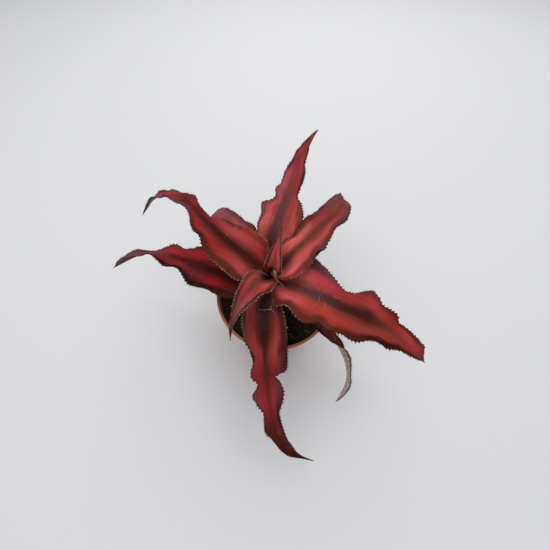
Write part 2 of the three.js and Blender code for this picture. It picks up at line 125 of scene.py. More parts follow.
# %% A finish: one material, and the nodes that it is made of
class Finish:
    def __init__(self, name):
        self.material = bpy.data.materials.new(name)
        self.material.use_nodes = True
        self.tree = self.material.node_tree
        self.tree.nodes.clear()

    def node(self, kind, settings=None, inputs=None, output=0):
        """Adds a node: its settings first, then the values or wires of its sockets."""
        made = self.tree.nodes.new(kind)
        for setting, value in (settings or {}).items():
            if setting == "stops":
                self._set_stops(made.color_ramp, value)
            else:
                setattr(made, setting, value)
        for key, value in (inputs or {}).items():
            if isinstance(value, Wire):
                self.tree.links.new(value.socket, made.inputs[key])
            else:
                made.inputs[key].default_value = value
        return Wire(self, made.outputs[output]) if output is not None else None

    def _set_stops(self, ramp, stops):
        """Gives a ramp its stops: pairs of position and colour, from 0 to 1."""
        while len(ramp.elements) < len(stops):
            ramp.elements.new(0.5)
        for element, (position, colour) in zip(ramp.elements, stops):
            element.position = position
            element.color = colour

    def attribute(self, name):
        return self.node("ShaderNodeAttribute", {"attribute_name": name}, output="Fac")

    def place(self):
        return self.node("ShaderNodeTexCoord", output="Object")

    def vector(self, x, y, z=0.0):
        return self.node("ShaderNodeCombineXYZ", {}, {0: x, 1: y, 2: z})

    def noise(self, where, scale, detail=3.0, roughness=0.5):
        inputs = {"Vector": where, "Scale": scale, "Detail": detail, "Roughness": roughness}
        return self.node("ShaderNodeTexNoise", {"noise_dimensions": "3D"}, inputs)

    def step(self, value, low, high):
        """Rises smoothly from 0 at low to 1 at high, or falls where low is above high."""
        rising = low < high
        inputs = {"Value": value, "From Min": min(low, high), "From Max": max(low, high),
                  "To Min": 0.0 if rising else 1.0, "To Max": 1.0 if rising else 0.0}
        return self.node("ShaderNodeMapRange", {"interpolation_type": "SMOOTHSTEP"}, inputs)

    def mix(self, share, first, second, blend="MIX"):
        settings = {"data_type": "RGBA", "blend_type": blend, "clamp_factor": True}
        inputs = {0: share, 6: first, 7: second}
        return self.node("ShaderNodeMix", settings, inputs, output=2)

    def shade(self, colour, amount):
        """A colour made darker or lighter by a number."""
        return self.mix(1.0, colour, amount, "MULTIPLY")

    def bump(self, height, distance, strength=1.0):
        inputs = {"Strength": strength, "Distance": distance, "Height": height}
        return self.node("ShaderNodeBump", {}, inputs)

    def surface(self, inputs):
        shader = self.node("ShaderNodeBsdfPrincipled", {}, inputs, output="BSDF")
        self.node("ShaderNodeOutputMaterial", {}, {"Surface": shader}, output=None)
        return self.material


# %% [markdown]
# ## Colours
#
# The plant has few pigments: a red that runs from scarlet to wine, a green that shows through it as
# olive or brown, and a grey scurf of fine scales on top. So a short palette of named colours serves
# all its leaves, each written as on a paint chart and changed here to the linear numbers that Blender
# mixes in.

# %% The palette
PALETTE = {
    "blush": "e26a64", "petal": "ce5857", "coral": "ba4a4a", "scarlet": "a63a3a", "flame": "a2362c",
    "crimson": "923032", "brick": "8a342c", "ruby": "7c2428", "wine": "6a1f22", "oxblood": "541818",
    "garnet": "431210", "ember": "340f0c", "soot": "1c0808", "rose": "a84e54", "dusk": "8c4e52",
    "mulberry": "7c4044", "mauve": "6a3a3c", "plum": "523032", "slate": "3a2428", "umber": "6c3a2e",
    "olive": "70302a", "moss": "582416", "earth": "50221e", "bark": "3e1a14", "ash": "675a54",
    "silver": "8c7f7f", "sand": "a88b78", "bone": "d2c4b8", "celery": "6e6c46", "cream": "b3a98b",
    "straw": "7d6a4a", "poppy": "b83e42", "cherry": "ae2c30", "claret": "8e2628",
    "rust": "92251d",
}


def paint(code):
    """The linear colour of a six digit paint code."""
    parts = [int(code[i:i + 2], 16) / 255 for i in (0, 2, 4)]
    linear = [part / 12.92 if part <= 0.04045 else ((part + 0.055) / 1.055) ** 2.4 for part in parts]
    return (*linear, 1.0)


def pigment(name):
    return paint(PALETTE[name])


print(len(PALETTE), "colours; scarlet is", [round(part, 3) for part in pigment("scarlet")[:3]])

# %% [markdown]
# ## Floor and light
#
# The plant stood under an overcast sky, which is one huge soft lamp. A pale world gives that light
# from all round, and two broad area lamps, one high behind the plant and one beside the camera, give
# it a direction, so that the waves of the leaves still show. The floor is one pale sheet that reaches
# past every edge of the picture.

# %% The floor
FLOOR_SIZE = 3.0
FLOOR_COLOUR = (0.74, 0.74, 0.745, 1.0)
FLOOR_ROUGHNESS = 0.8


def add_piece(name, bm, materials):
    """Makes an object of a bmesh, at the origin, with its materials."""
    mesh = bpy.data.meshes.new(name)
    bm.to_mesh(mesh)
    bm.free()
    for material in materials:
        mesh.materials.append(material)
    piece = bpy.data.objects.new(name, mesh)
    bpy.context.scene.collection.objects.link(piece)
    return piece


floor_material = Finish("floor").surface({"Base Color": FLOOR_COLOUR, "Roughness": FLOOR_ROUGHNESS})
floor_mesh = bmesh.new()
bmesh.ops.create_grid(floor_mesh, x_segments=1, y_segments=1, size=FLOOR_SIZE)
floor = add_piece("floor", floor_mesh, [floor_material])

# %% The light
SKY_COLOUR = (0.93, 0.95, 1.0, 1.0)
SKY_STRENGTH = 0.4
LAMP_AIM = (0, 0, 0.05)
LAMPS = {
    "sky_behind": dict(place=(0.15, 0.8, 1.3), size=1.4, power=14.5),
    "sky_front": dict(place=(-0.4, -0.7, 1.4), size=1.6, power=7.5),
}


def add_lamp(name, place, size, power):
    """A square area lamp that shines at the plant and that the camera doesn't see."""
    data = bpy.data.lights.new(name, "AREA")
    data.size = size
    data.energy = power
    lamp = bpy.data.objects.new(name, data)
    lamp.location = place
    lamp.rotation_euler = (Vector(place) - Vector(LAMP_AIM)).to_track_quat("Z", "Y").to_euler()
    lamp.visible_camera = False
    bpy.context.scene.collection.objects.link(lamp)


world = bpy.data.worlds.new("sky")
world.use_nodes = True
world.node_tree.nodes["Background"].inputs["Color"].default_value = SKY_COLOUR
world.node_tree.nodes["Background"].inputs["Strength"].default_value = SKY_STRENGTH
bpy.context.scene.world = world
bpy.context.scene.view_settings.view_transform = "Standard"

for name, lamp in LAMPS.items():
    add_lamp(name, **lamp)
print("a pale world and", len(LAMPS), "lamps")

# %% [markdown]
# ## What makes a leaf
#
# A leaf of an earth star is a long blade that is folded a little along its midrib, wavy at its edges
# and set with small teeth. The measured leaf is drawn by a few lists, and this lesson repeats them, in
# millimetres, so that the fine blade lies exactly in its solid: the midrib as reach from the crown,
# height and sweep to the left, then both edges as distance along the midrib and half width, the fold
# and the twist in degrees from base to tip, and the waves.

# %% The values that each leaf is drawn from
CROWN_AXIS = Vector((-3, 3, 0))
LEAVES = {
    "leaf_north": dict(
        azimuth=76,
        midrib=[(6.5, 77.5, 0), (17, 83, 4), (28, 90, 6.5), (46, 101, 3.5), (64, 108, 1.5), (85, 113, 0),
                (106, 115, -3.3), (136, 113, -8)],
        left=[(0, 4.5), (12, 6), (22, 9), (32, 12.8), (40, 13.4), (49, 16), (53, 10.2), (57, 7.9),
              (61.5, 9.4), (67, 7.6), (79, 7.4), (90, 4.9), (96, 5.4), (102, 6.2), (110, 4.1), (118, 2.8),
              (130, 2.2), (140, 0.5)],
        right=[(0, 4.5), (12, 6), (20, 8.6), (28, 13.4), (35, 16.4), (45, 17.9), (57, 12), (61.5, 8),
               (66, 7.7), (74, 8.5), (85, 7.1), (92, 4.7), (101, 3.7), (107, 2.2), (114, 1), (140, 0.4)],
        fold=[20, 18, 14, 12, 12, 15],
        waves=(5, 1.6, 0.1, 0.6)),
    "leaf_northeast": dict(
        azimuth=38,
        midrib=[(4.75, 84.5, 0), (10, 93, -1), (18, 100, -1.4), (30, 106, -1.6), (41, 110, -2.2),
                (55, 112.5, -1), (63.5, 112, 2), (69.5, 109.5, 5), (72, 105, 7)],
        left=[(0, 4), (10, 8), (23, 10.4), (30, 8.5), (40, 10.8), (49, 11.3), (60, 9.1), (68, 9.7),
              (74, 8.4), (80, 5.2), (84, 3), (87, 0.8)],
        right=[(0, 4), (8, 12), (14, 16.5), (26, 16.6), (33, 13.1), (37, 14.7), (41, 12.4), (46, 10),
               (52, 7.7), (60, 8.5), (67, 7.1), (72, 5.2), (80, 2.8), (87, 0.6)],
        fold=[25, 20, 12, 8, 8],
        waves=(4, 1.5, 0.3, 0.8)),
    "leaf_northwest": dict(
        azimuth=142,
        midrib=[(5.05, 83, 0), (13, 91, 2), (22, 98, 3), (36, 105, 4.7), (50, 108, 3.6), (66, 107, 0.7),
                (82, 104, -3.3), (101, 97.5, -4.4), (112, 93, -1.6), (122.6, 88, 1), (129.5, 82.5, 4.6),
                (136.4, 74, 8.6), (142, 65.5, 15.4)],
        left=[(0, 4), (8, 12), (16, 19.8), (28, 20), (42, 15.8), (49, 11.6), (54, 12), (66, 7.6),
              (74, 4.8), (79, 4.9), (84, 6.2), (96, 5), (106, 5.8), (113, 4.8), (121, 2.2), (136, 2),
              (152, 2), (164, 0.4)],
        right=[(0, 4), (8, 11), (17, 17), (24, 16.8), (30, 16), (36, 13.2), (42, 10.2), (50, 8.6),
               (56, 4.9), (62, 4), (70, 3.7), (79, 5), (88, 7.7), (94, 4.8), (100, 3.4), (106, 5.2),
               (112.5, 7.4), (118, 4.9), (128, 3.3), (146, 2.8), (156, 2.2), (164, 0.4)],
        fold=[25, 20, 12, 8, 8, 12, 40, 50, 50],
        waves=(6, 1.6, 0.2, 0.7)),
    "leaf_west": dict(
        azimuth=169,
        midrib=[(8, 74, 0), (15, 78, 4), (25, 82, 7), (38, 85.5, 4), (57, 88, 2.3), (79, 85, -3),
                (95, 80, -4.7), (106, 75.3, -4.9), (117, 69.5, -3), (128, 63.7, 0.8), (137, 59, 4.6)],
        left=[(0, 4.5), (10, 8), (21, 15.4), (28, 16.8), (43, 16.9), (49, 15.9), (57, 9.4), (61, 8.2),
              (66, 9.7), (73, 9.8), (80, 7.6), (88, 4.2), (94, 2.8), (104, 1.6), (112, 1.8), (122, 2.6),
              (132, 2.2), (141, 0.4)],
        right=[(0, 4.5), (10, 8), (22, 13), (34, 16), (48, 14.3), (56, 12.6), (67, 8.7), (73, 9.1),
               (80, 4.9), (84, 3.7), (92, 3), (101, 2.2), (108, 3.4), (118, 5.5), (126, 4), (134, 2.6),
               (141, 0.4)],
        fold=[15, 15, 12, 10, 12, 40, 50, 50],
        waves=(5, 1.5, 0, 0.5)),
    "leaf_southeast": dict(
        azimuth=330,
        midrib=[(5.4, 80.3, 0), (17, 87.5, 0.4), (28, 92, -1), (43, 95, -0.8), (58, 95, 0), (74, 92, 1.8),
                (90, 86, 3), (114, 74, 0)],
        left=[(0, 4), (8, 13), (17, 21.6), (26, 21.2), (38, 14.8), (48, 10.4), (54, 10.4), (60, 14.4),
              (66, 18), (69.5, 16.8), (75, 12), (80, 10.9), (83, 10.6), (87.5, 7.6), (93, 9), (103, 8),
              (112, 7.2), (116, 1.8)],
        right=[(0, 4), (6, 14), (13, 21), (19, 21), (23, 17.8), (29, 21), (35, 21.5), (41, 18.1),
               (47, 20), (55, 17.4), (63, 17.8), (71, 13.6), (79, 11.5), (86, 11.6), (93, 8.6), (99, 6.2),
               (107, 3.4), (116, 0.6)],
        fold=[20, 15, 8, 5, 5, 8],
        waves=(5, 1.5, 0.75, 0.2)),
    "leaf_south": dict(
        azimuth=268,
        midrib=[(7, 75.5, 0), (19, 81.5, -4.2), (30, 84.5, -3.1), (49, 82, -2.1), (62, 76, -0.8),
                (75, 68, 1.6), (89, 58, 4.2), (102, 47, 10.2), (108, 42, 16.8), (113, 34, 33)],
        left=[(0, 4.5), (12, 8), (24, 12.4), (34, 14.4), (56, 13.6), (61, 11.4), (63.5, 6), (67, 7.8),
              (73, 9.6), (80, 7.6), (87, 5.3), (104, 5.3), (115, 5.2), (126, 1.8), (139, 0.4)],
        right=[(0, 4.5), (14, 9), (25, 14.2), (40, 12.4), (47, 8.4), (52, 6.6), (60.5, 9.2), (66, 5.6),
               (73, 9.6), (80, 8.2), (87, 4.4), (97, 5.9), (108, 4), (118, 1.8), (139, 0.4)],
        fold=[18, 15, 12, 10, 10, 10],
        waves=(5, 1.5, 0.4, 0.9)),
    "leaf_behind_northeast": dict(
        azimuth=50,
        midrib=[(7.55, 71.5, 0), (18, 77, -1), (30, 83, -3), (45, 89, -5), (60, 93, -4.5), (75, 95, -2),
                (93.5, 94, 3.3)],
        left=[(0, 4.5), (14, 9), (28, 13), (44, 14), (52, 14), (60, 9.9), (69, 8.5), (77, 6.2), (84, 3.8),
              (90, 1.8), (94, 0.6)],
        right=[(0, 4.5), (14, 9), (28, 12), (44, 11), (56, 9.7), (65, 13), (72, 12.2), (80, 8.8),
               (84, 4.4), (90, 2), (94, 0.6)],
        fold=[15, 12, 8, 8],
        waves=(4, 1.2, 0.5, 0)),
    "leaf_behind_northwest": dict(
        azimuth=130,
        midrib=[(8.05, 69.5, 0), (18, 75, 0), (30, 80.5, 0), (45, 86.5, 0.5), (60, 89.5, 1),
                (69, 89.5, 1.5), (76, 84, 2), (78, 77, 2)],
        left=[(0, 4.5), (14, 9), (28, 13), (44, 14), (60, 12), (73, 8), (90, 0.4)],
        right=[(0, 4.5), (14, 9), (28, 15.6), (38, 17.4), (44, 15.3), (50, 15), (60, 11.8), (67, 11),
               (76, 7.8), (90, 0.4)],
        fold=[15, 12, 8, 8],
        waves=(4, 1.2, 0, 0.4)),
    "leaf_under_southeast": dict(
        azimuth=322,
        midrib=[(8.45, 68.3, 0), (17, 74, -0.5), (27, 77.5, -1.3), (39, 78.5, -3), (48, 77.5, -4.6),
                (57.2, 74, -6.6), (63.7, 70, -7.4), (68.6, 65.2, -8.3), (73.7, 59.6, -9.8),
                (77.8, 54, -11.7), (81.9, 47.5, -14.4), (84.9, 41, -17.5), (86.9, 34, -22.6),
                (88.3, 25.5, -31.5)],
        left=[(0, 4.5), (12, 7), (25, 9), (40, 7.6), (48, 5), (56, 3.2), (64, 2.8), (78, 2.6), (98, 2.6),
              (108, 2), (116, 1.3), (124, 0.4)],
        right=[(0, 4.5), (12, 5), (25, 5.5), (40, 6.5), (50, 6.4), (60, 4.4), (66, 3.9), (74, 3.1),
               (88, 3.1), (98, 3.4), (106, 2.7), (114, 1.7), (124, 0.4)],
        fold=[15, 15, 12, 12, 30, 60, 60, 55, 50, 40], twist=[0, 0, -4, -8, -25, -75, -85, -80, -60, -50],
        waves=(4, 1, 0.2, 0.7)),
    "leaf_under_south": dict(
        azimuth=258,
        midrib=[(8.8, 66.3, 0), (20, 71, 0), (32, 73.5, 0), (45, 71.5, 0), (57.6, 65, 0)],
        left=[(0, 4.5), (14, 8), (28, 8), (40, 4), (52, 0.4)],
        right=[(0, 4.5), (14, 8), (28, 8), (40, 4), (52, 0.4)],
        fold=[12, 12],
        waves=(2, 0.8, 0.2, 0.7)),
    "leaf_inner_southwest": dict(
        azimuth=237,
        midrib=[(3.8, 88, 0), (10, 94.5, 0.3), (15, 98, -1.5), (26, 101, -0.8), (36, 99, -0.2),
                (45, 93, 1.2), (52, 86, 4.4)],
        left=[(0, 3.5), (8, 10), (15, 15), (22, 15), (25, 11), (30, 8.6), (38, 5), (46, 2.2), (58, 0.4)],
        right=[(0, 4.2), (3.5, 7.2), (7, 7.6), (13, 8.6), (20, 7.2), (28, 5.4), (38, 3), (46, 1.4),
               (58, 0.4)],
        fold=[25, 20, 30, 30],
        waves=(3, 0.5, 0.2, 0.7)),
    "leaf_inner_north": dict(
        azimuth=60,
        midrib=[(3.8, 89.5, 0), (3, 97, -1), (5.2, 112, -1.2), (12, 127, -1.3)],
        left=[(0, 3.2), (6, 6.4), (12, 5.5), (20, 3.8), (30, 1.6), (39, 0.4)],
        right=[(0, 3.2), (6, 8), (10, 9.6), (20, 6.8), (30, 3), (39, 0.4)],
        fold=[35, 30, 30],
        waves=(2, 0.3, 0.2, 0.7)),
    "heart_leaf_south": dict(
        azimuth=302,
        midrib=[(3.1, 91.3, 0), (4.3, 98, -0.8), (7, 103.5, -2.8), (11.5, 106, -4.2), (15.5, 104.8, -3.1),
                (19.2, 101.5, -1.5)],
        left=[(0, 2.2), (8, 1.7), (13, 2), (17, 3.1), (19.5, 1.8), (22, 0.35), (30, 0.25)],
        right=[(0, 2.2), (8, 1.4), (13, 0.6), (18, 0.35), (30, 0.25)],
        fold=[35, 30, 20],
        waves=(1, 0, 0, 0)),
    "heart_leaf_west": dict(
        azimuth=200,
        midrib=[(3.6, 90.5, 0), (4.6, 94, 1), (6.2, 97.5, 0.8), (7.2, 101, -0.5)],
        left=[(0, 3.6), (4, 3), (8, 1.6), (12, 0.5)],
        right=[(0, 2), (6, 2.4), (12, 0.5)],
        fold=[35, 30],
        waves=(1, 0, 0, 0)),
}
print(len(LEAVES), "leaves")

# %% Values that change smoothly along a leaf


def clamp(value):
    return min(max(value, 0.0), 1.0)


def along_pairs(pairs, distance):
    """A smooth value through pairs of distance and value."""
    last = len(pairs) - 1
    i = 0
    while i < last - 1 and distance > pairs[i + 1][0]:
        i += 1

    def slope(k):
        before, after = pairs[max(k - 1, 0)], pairs[min(k + 1, last)]
        return (after[1] - before[1]) / (after[0] - before[0])

    (start, start_value), (end, end_value) = pairs[i], pairs[i + 1]
    span = end - start
    t = clamp((distance - start) / span)
    ease = t * t * (3 - 2 * t)
    return (start_value + (end_value - start_value) * ease
            + span * t * (1 - t) * ((1 - t) * slope(i) - t * slope(i + 1)))


def along_list(values, share):
    """A smooth value through an even list, at a share from 0 to 1."""
    last = len(values) - 1
    return along_pairs([(i / last, value) for i, value in enumerate(values)], share)


print("half width of the north leaf 45 mm out:", round(along_pairs(LEAVES["leaf_north"]["right"], 45), 1))

# %% [markdown]
# ## The midrib
#
# The midrib is a smooth curve through its few points. Each stretch between two points is a Bezier
# curve whose handles lie along the line between the points before and after, and the many short
# edges are then walked at even steps. At each step the leaf needs three directions: forward, to its
# left, and up. The left direction is carried along from step to step, so the blade turns only where
# its own twist says so.

# %% Even stations along the midrib
CURVE_STEPS = 60


def midrib_line(leaf):
    """The midrib as a line of many short edges, in millimetres."""
    turn = math.radians(leaf["azimuth"])
    out = Vector((math.cos(turn), math.sin(turn), 0))
    left = Vector((-math.sin(turn), math.cos(turn), 0))
    points = [CROWN_AXIS + out * reach + left * sweep + Vector((0, 0, height))
              for reach, height, sweep in leaf["midrib"]]
    points = [2 * points[0] - points[1]] + points + [2 * points[-1] - points[-2]]
    line = [points[1]]
    for before, here, ahead, after in zip(points, points[1:], points[2:], points[3:]):
        first = here + (ahead - before) / 6
        second = ahead - (after - here) / 6
        line += interpolate_bezier(here, first, second, ahead, CURVE_STEPS)[1:]
    return line, left


def even_points(line, step):
    """Points about a step apart along a line, and the line's length."""
    lengths = [(after - before).length for before, after in zip(line, line[1:])]
    total = sum(lengths)
    count = round(total / step)
    points = [line[0]]
    walked = 0.0
    edge = 0
    for i in range(1, count):
        target = total * i / count
        while walked + lengths[edge] < target:
            walked += lengths[edge]
            edge += 1
        points.append(line[edge].lerp(line[edge + 1], (target - walked) / lengths[edge]))
    points.append(line[-1])
    return points, total


def leaf_stations(leaf, step):
    """Dictionaries of place, directions, share and distance, from the leaf's base to its tip."""
    line, side = midrib_line(leaf)
    points, length = even_points(line, step)
    last = len(points) - 1
    stations = []
    for i, point in enumerate(points):
        forward = (points[min(i + 1, last)] - points[max(i - 1, 0)]).normalized()
        side = (side - forward * side.dot(forward)).normalized()
        up = forward.cross(side)
        twist = math.radians(along_list(leaf.get("twist", [0, 0]), i / last))
        stations.append(dict(
            place=point, forward=forward, share=i / last, distance=length * i / last,
            side=side * math.cos(twist) + up * math.sin(twist),
            up=up * math.cos(twist) - side * math.sin(twist)))
    return stations


north = leaf_stations(LEAVES["leaf_north"], 4)
print("the north leaf is", round(north[-1]["distance"]), "mm long")

# %% [markdown]
# ## The blade and its teeth
#
# A blade could be cut from a flat sheet and bent, but its edges wave more than its middle, so it is
# easier to start from a plain grid and move every point to its own place. The last column of the grid
# on each side is kept for the teeth: five rows make one tooth, which rises slowly, ends in a tip
# that leans forward, and drops at once. Each vertex also notes where it is on the leaf, for the
# finish to read: how far across and along, and how many millimetres from the edge and the midrib.

# %% Where a point of the blade goes
FOLD_CURVE = 1.5
WAVE_CURVE = 2.5
WAVE_START = 0.2
WAVE_END = 0.25
TIP_HALF_WIDTH = 0.28
POINT_LENGTH = 5
POINT_HALF_WIDTH = 0.14
GROOVE_DEPTH = 0.3
GROOVE_WIDTH = 1.5
RIPPLE_HEIGHT = 0.28
RIPPLE_LENGTH = 6.5
RIPPLE_OFFSET = 2.1
RIPPLE_CURVE = 6
RELIEF_WIDTH = 8


def half_width(leaf, station, sign):
    """The blade's half width on one side, drawn to a point at the very tip."""
    width = max(along_pairs(leaf["left" if sign > 0 else "right"], station["distance"]), TIP_HALF_WIDTH)
    left_over = station["distance"] * (1 / max(station["share"], 0.01) - 1)
    return POINT_HALF_WIDTH + (width - POINT_HALF_WIDTH) * clamp(left_over / POINT_LENGTH)


def wave_lift(leaf, share, sign):
    count, lift, left, right = leaf["waves"]
    envelope = clamp(share / WAVE_START) * clamp((1 - share) / WAVE_END)
    return lift * envelope * math.sin(2 * math.pi * (count * share + (left if sign > 0 else right)))


def blade_point(leaf, station, across, width):
    """A point of the blade's middle surface: across runs from -1 at the right edge to 1 at the left."""
    sign = -1 if across < 0 else 1
    reach = abs(across)
    fold = math.radians(along_list(leaf["fold"], station["share"]))
    ripple = math.sin(2 * math.pi * station["distance"] / RIPPLE_LENGTH + RIPPLE_OFFSET * sign)
    relief = clamp(width / RELIEF_WIDTH)
    raised = (width * math.sin(fold) * reach ** FOLD_CURVE
              + wave_lift(leaf, station["share"], sign) * reach ** WAVE_CURVE
              + RIPPLE_HEIGHT * relief * ripple * reach ** RIPPLE_CURVE
              - GROOVE_DEPTH * relief * math.exp(-(width * across / GROOVE_WIDTH) ** 2))
    return (station["place"] + station["side"] * (sign * width * reach * math.cos(fold))
            + station["up"] * raised)


# %% The blade as a grid with a column of teeth on each side
BLADE_COLUMNS = 20
GRID_COLUMNS = BLADE_COLUMNS + 2
TOOTH_PROFILE = (0.04, 0.2, 0.55, 1.0, 0.12)
TOOTH_PITCH = 2.0
TOOTH_HEIGHT = 1.1
TOOTH_LEAN = 0.4
TOOTH_LEAST = 0.03
TOOTH_SIZES = (0.55, 1.2)
TOOTHED_WIDTH = 3.5
NEAR_EDGE = 0.9
LEAST_ZONE = 0.02
MARKS = ("across", "along", "edge_mm", "side_mm", "run_mm", "stripe", "rim")


def tooth_sizes(name, count):
    """A size for each tooth of each side, the same on every run."""
    dice = random.Random(name)
    return {sign: [dice.uniform(*TOOTH_SIZES) for _ in range(count)] for sign in (-1, 1)}


def zone_marks(look, share, across):
    """The distance from the midrib in stripe widths, and from the edge in margin widths."""
    on_right = across < 0 and "margin_width_right" in look
    margin = along_pairs(look["margin_width_right" if on_right else "margin_width"], share)
    stripe = along_pairs(look["stripe_width"], share)
    return abs(across) / max(stripe, LEAST_ZONE), (1 - abs(across)) / max(margin, LEAST_ZONE)


def blade_mesh(name, leaf, look, pitch, tooth_height):
    """The leaf's middle surface as a bmesh, with its marks and its thickness weights."""
    stations = leaf_stations(leaf, pitch / len(TOOTH_PROFILE))
    last = len(stations) - 1
    sizes = tooth_sizes(name, last // len(TOOTH_PROFILE) + 1)
    bm = bmesh.new()
    bmesh.ops.create_grid(bm, x_segments=GRID_COLUMNS, y_segments=last, size=1)
    marks = {mark: bm.verts.layers.float.new(mark) for mark in MARKS}
    weights = bm.verts.layers.deform.verify()
    for vertex in bm.verts:
        column = round((1 - vertex.co.x) / 2 * GRID_COLUMNS) - 1
        row = round((vertex.co.y + 1) / 2 * last)
        station = stations[row]
        across = min(max(2 * column / BLADE_COLUMNS - 1, -1), 1)
        sign = -1 if across < 0 else 1
        width = half_width(leaf, station, sign)
        place = blade_point(leaf, station, across, width)
        outside = 0.0
        if column < 0 or column > BLADE_COLUMNS:
            inner = blade_point(leaf, station, NEAR_EDGE * sign, width)
            size = sizes[sign][row // len(TOOTH_PROFILE)] * tooth_height * clamp(width / TOOTHED_WIDTH)
            outside = max(size * TOOTH_PROFILE[row % len(TOOTH_PROFILE)], TOOTH_LEAST)
            place += (place - inner).normalized() * outside
            place += station["forward"] * (outside * TOOTH_LEAN)
        vertex.co = place * MM
        vertex[marks["across"]] = across
        vertex[marks["along"]] = station["share"]
        vertex[marks["edge_mm"]] = width * (1 - abs(across)) - outside
        vertex[marks["side_mm"]] = across * width
        vertex[marks["run_mm"]] = station["distance"]
        vertex[marks["stripe"]], vertex[marks["rim"]] = zone_marks(look, station["share"], across)
        vertex[weights][0] = thickness_share(abs(across), station["share"], width, outside)
    for face in bm.faces:
        face.smooth = True
    return bm


# %% The blade's thickness, from the midrib to the teeth
MIDRIB_THICKNESS = 1.4
BLADE_SHARE = 0.71
MARGIN_SHARE = 0.4
TOOTH_SHARE = 0.16
NARROW_SHARE = 0.45
RIB_REACH = 0.2
MARGIN_START = 0.6
TIP_THINNING = 0.35
FULL_THICKNESS_WIDTH = 2.5


def thickness_share(reach, share, width, outside):
    """Thickness as a share of the midrib's at the base: less at the edge, at the tip and where narrow."""
    if outside > 0:
        return TOOTH_SHARE
    body = BLADE_SHARE + (1 - BLADE_SHARE) * clamp(1 - reach / RIB_REACH)
    edge = body + (MARGIN_SHARE - body) * clamp((reach - MARGIN_START) / (1 - MARGIN_START))
    narrow = NARROW_SHARE + (1 - NARROW_SHARE) * clamp(width / FULL_THICKNESS_WIDTH)
    return edge * (1 - TIP_THINNING * share) * narrow


def leaf_piece(name, look, materials, pitch, tooth_height):
    """One leaf in the place of its solid, with its upper and its lower material."""
    blade = blade_mesh(name, LEAVES[name], look, pitch, tooth_height)
    piece = add_piece("fine_" + name, blade, materials)
    piece.vertex_groups.new(name="thickness")
    shell = piece.modifiers.new("thickness", "SOLIDIFY")
    shell.thickness = MIDRIB_THICKNESS * MM
    shell.offset = 0
    shell.vertex_group = "thickness"
    shell.material_offset = 1
    shell.material_offset_rim = 0
    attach(piece, "root")
    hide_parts(name)
    return piece


# %% [markdown]
# ## The upper side of a leaf
#
# From above, a leaf shows two bright bands with a dark stripe between them and a dark or olive margin
# outside, and everything is drawn out along the leaf, because its veins run that way. So the noises
# are stretched: quick across the leaf, slow along it. A second, slower noise lets the borders of the
# stripe and the margins wander. Grey scurf lies on the base, worn off in short pale scratches. The
# same function finishes every leaf from its own few colours, so that all of them belong together.

# %% The grain of a leaf: waves per millimetre across and along it
GRAINS = {
    "vein": dict(across=0.5, along=0.035, shift=0.0, detail=4.0, roughness=0.65),
    "hair": dict(across=2.2, along=0.12, shift=11.0, detail=3.0),
    "drift": dict(across=0.15, along=0.07, shift=7.0, detail=2.0),
    "grain": dict(across=1.6, along=1.0, shift=3.0, detail=3.0, roughness=0.65),
}


def leaf_noise(f, seed, across, along, shift=0.0, detail=3.0, roughness=0.5):
    """A noise from 0 to 1 that lies on the blade in millimetres."""
    side, run = f.attribute("side_mm"), f.attribute("run_mm")
    return f.noise(f.vector(side * across, run * along, seed + shift), 1.0, detail, roughness)


def leaf_grains(f, seed):
    """All the grains of one leaf, each from -0.5 to 0.5."""
    return SimpleNamespace(**{kind: leaf_noise(f, seed, **how) - 0.5 for kind, how in GRAINS.items()})


print("grains:", ", ".join(GRAINS))

# %% The bands and the stripe
GLOW_SHARE = 0.3
STREAK_SHARE = 0.15
BLOOM_SHARE = 0.12
HALO_SHARE = 0.3
HALO_REACH = 2.4
STRIPE_SOFT = 0.75


def along_ramp(f, share, names):
    """A ramp through evenly placed palette names, from base to tip."""
    names = names.split()
    stops = [(i / (len(names) - 1), pigment(name)) for i, name in enumerate(names)]
    return f.node("ShaderNodeValToRGB", {"stops": stops}, {"Fac": share}, output="Color")


def two_sided(f, look, key, at):
    """The look's ramp, or one ramp for the left half and another for the right half."""
    left = along_ramp(f, at.along, look[key])
    if key + "_right" not in look:
        return left
    on_right = f.step(at.across, 0.1, -0.1)
    return f.mix(on_right, left, along_ramp(f, at.along, look[key + "_right"]))


def band_colour(f, look, at, g):
    """The bright bands: a glow in patches, moss in streaks, and a shade that follows the veins."""
    band = two_sided(f, look, "band", at)
    band = f.mix(f.step(g.drift, 0.0, 0.18) * GLOW_SHARE, band, pigment(look.get("glow", "flame")))
    band = f.mix(f.step(g.hair, 0.06, 0.25) * STREAK_SHARE, band, pigment("moss"))
    return f.shade(band, 1.0 + g.vein * 0.65 + g.hair * 0.35 + g.grain * 0.3)


def stripe_colour(f, look, at, g):
    """The dark stripe over the midrib, with a dusty bloom."""
    dark = along_ramp(f, at.along, look["stripe"])
    dark = f.mix(f.step(g.grain, 0.02, 0.22) * BLOOM_SHARE, dark, pigment("mauve"))
    return f.shade(dark, 1.0 + g.hair * 1.2 + g.grain * 0.8)


def striped(f, look, at, g):
    """The stripe between its bands, and the mask that tells where it is."""
    middle = at.stripe + g.vein * 1.1 + g.drift * 0.7
    halo = f.step(middle, HALO_REACH, 1.0) * HALO_SHARE
    band = f.mix(halo, band_colour(f, look, at, g), pigment(look.get("halo", "umber")))
    in_stripe = f.step(middle, 1.0 + STRIPE_SOFT, 1.0 - STRIPE_SOFT)
    return f.mix(in_stripe, band, stripe_colour(f, look, at, g)), in_stripe


# %% The margin and its fringe
MARGIN_SOFT = 0.45
MARGIN_COVER = 0.95
FRINGE_WIDTH = 0.9
FRINGE_COVER = 0.6
PALE_FADE = 0.12


def pale_part(f, look, at):
    """1 near the base, where the edge is worn pale, and 0 further out."""
    end = look.get("pale_end", 0.2)
    return f.step(at.along, end + PALE_FADE, end)


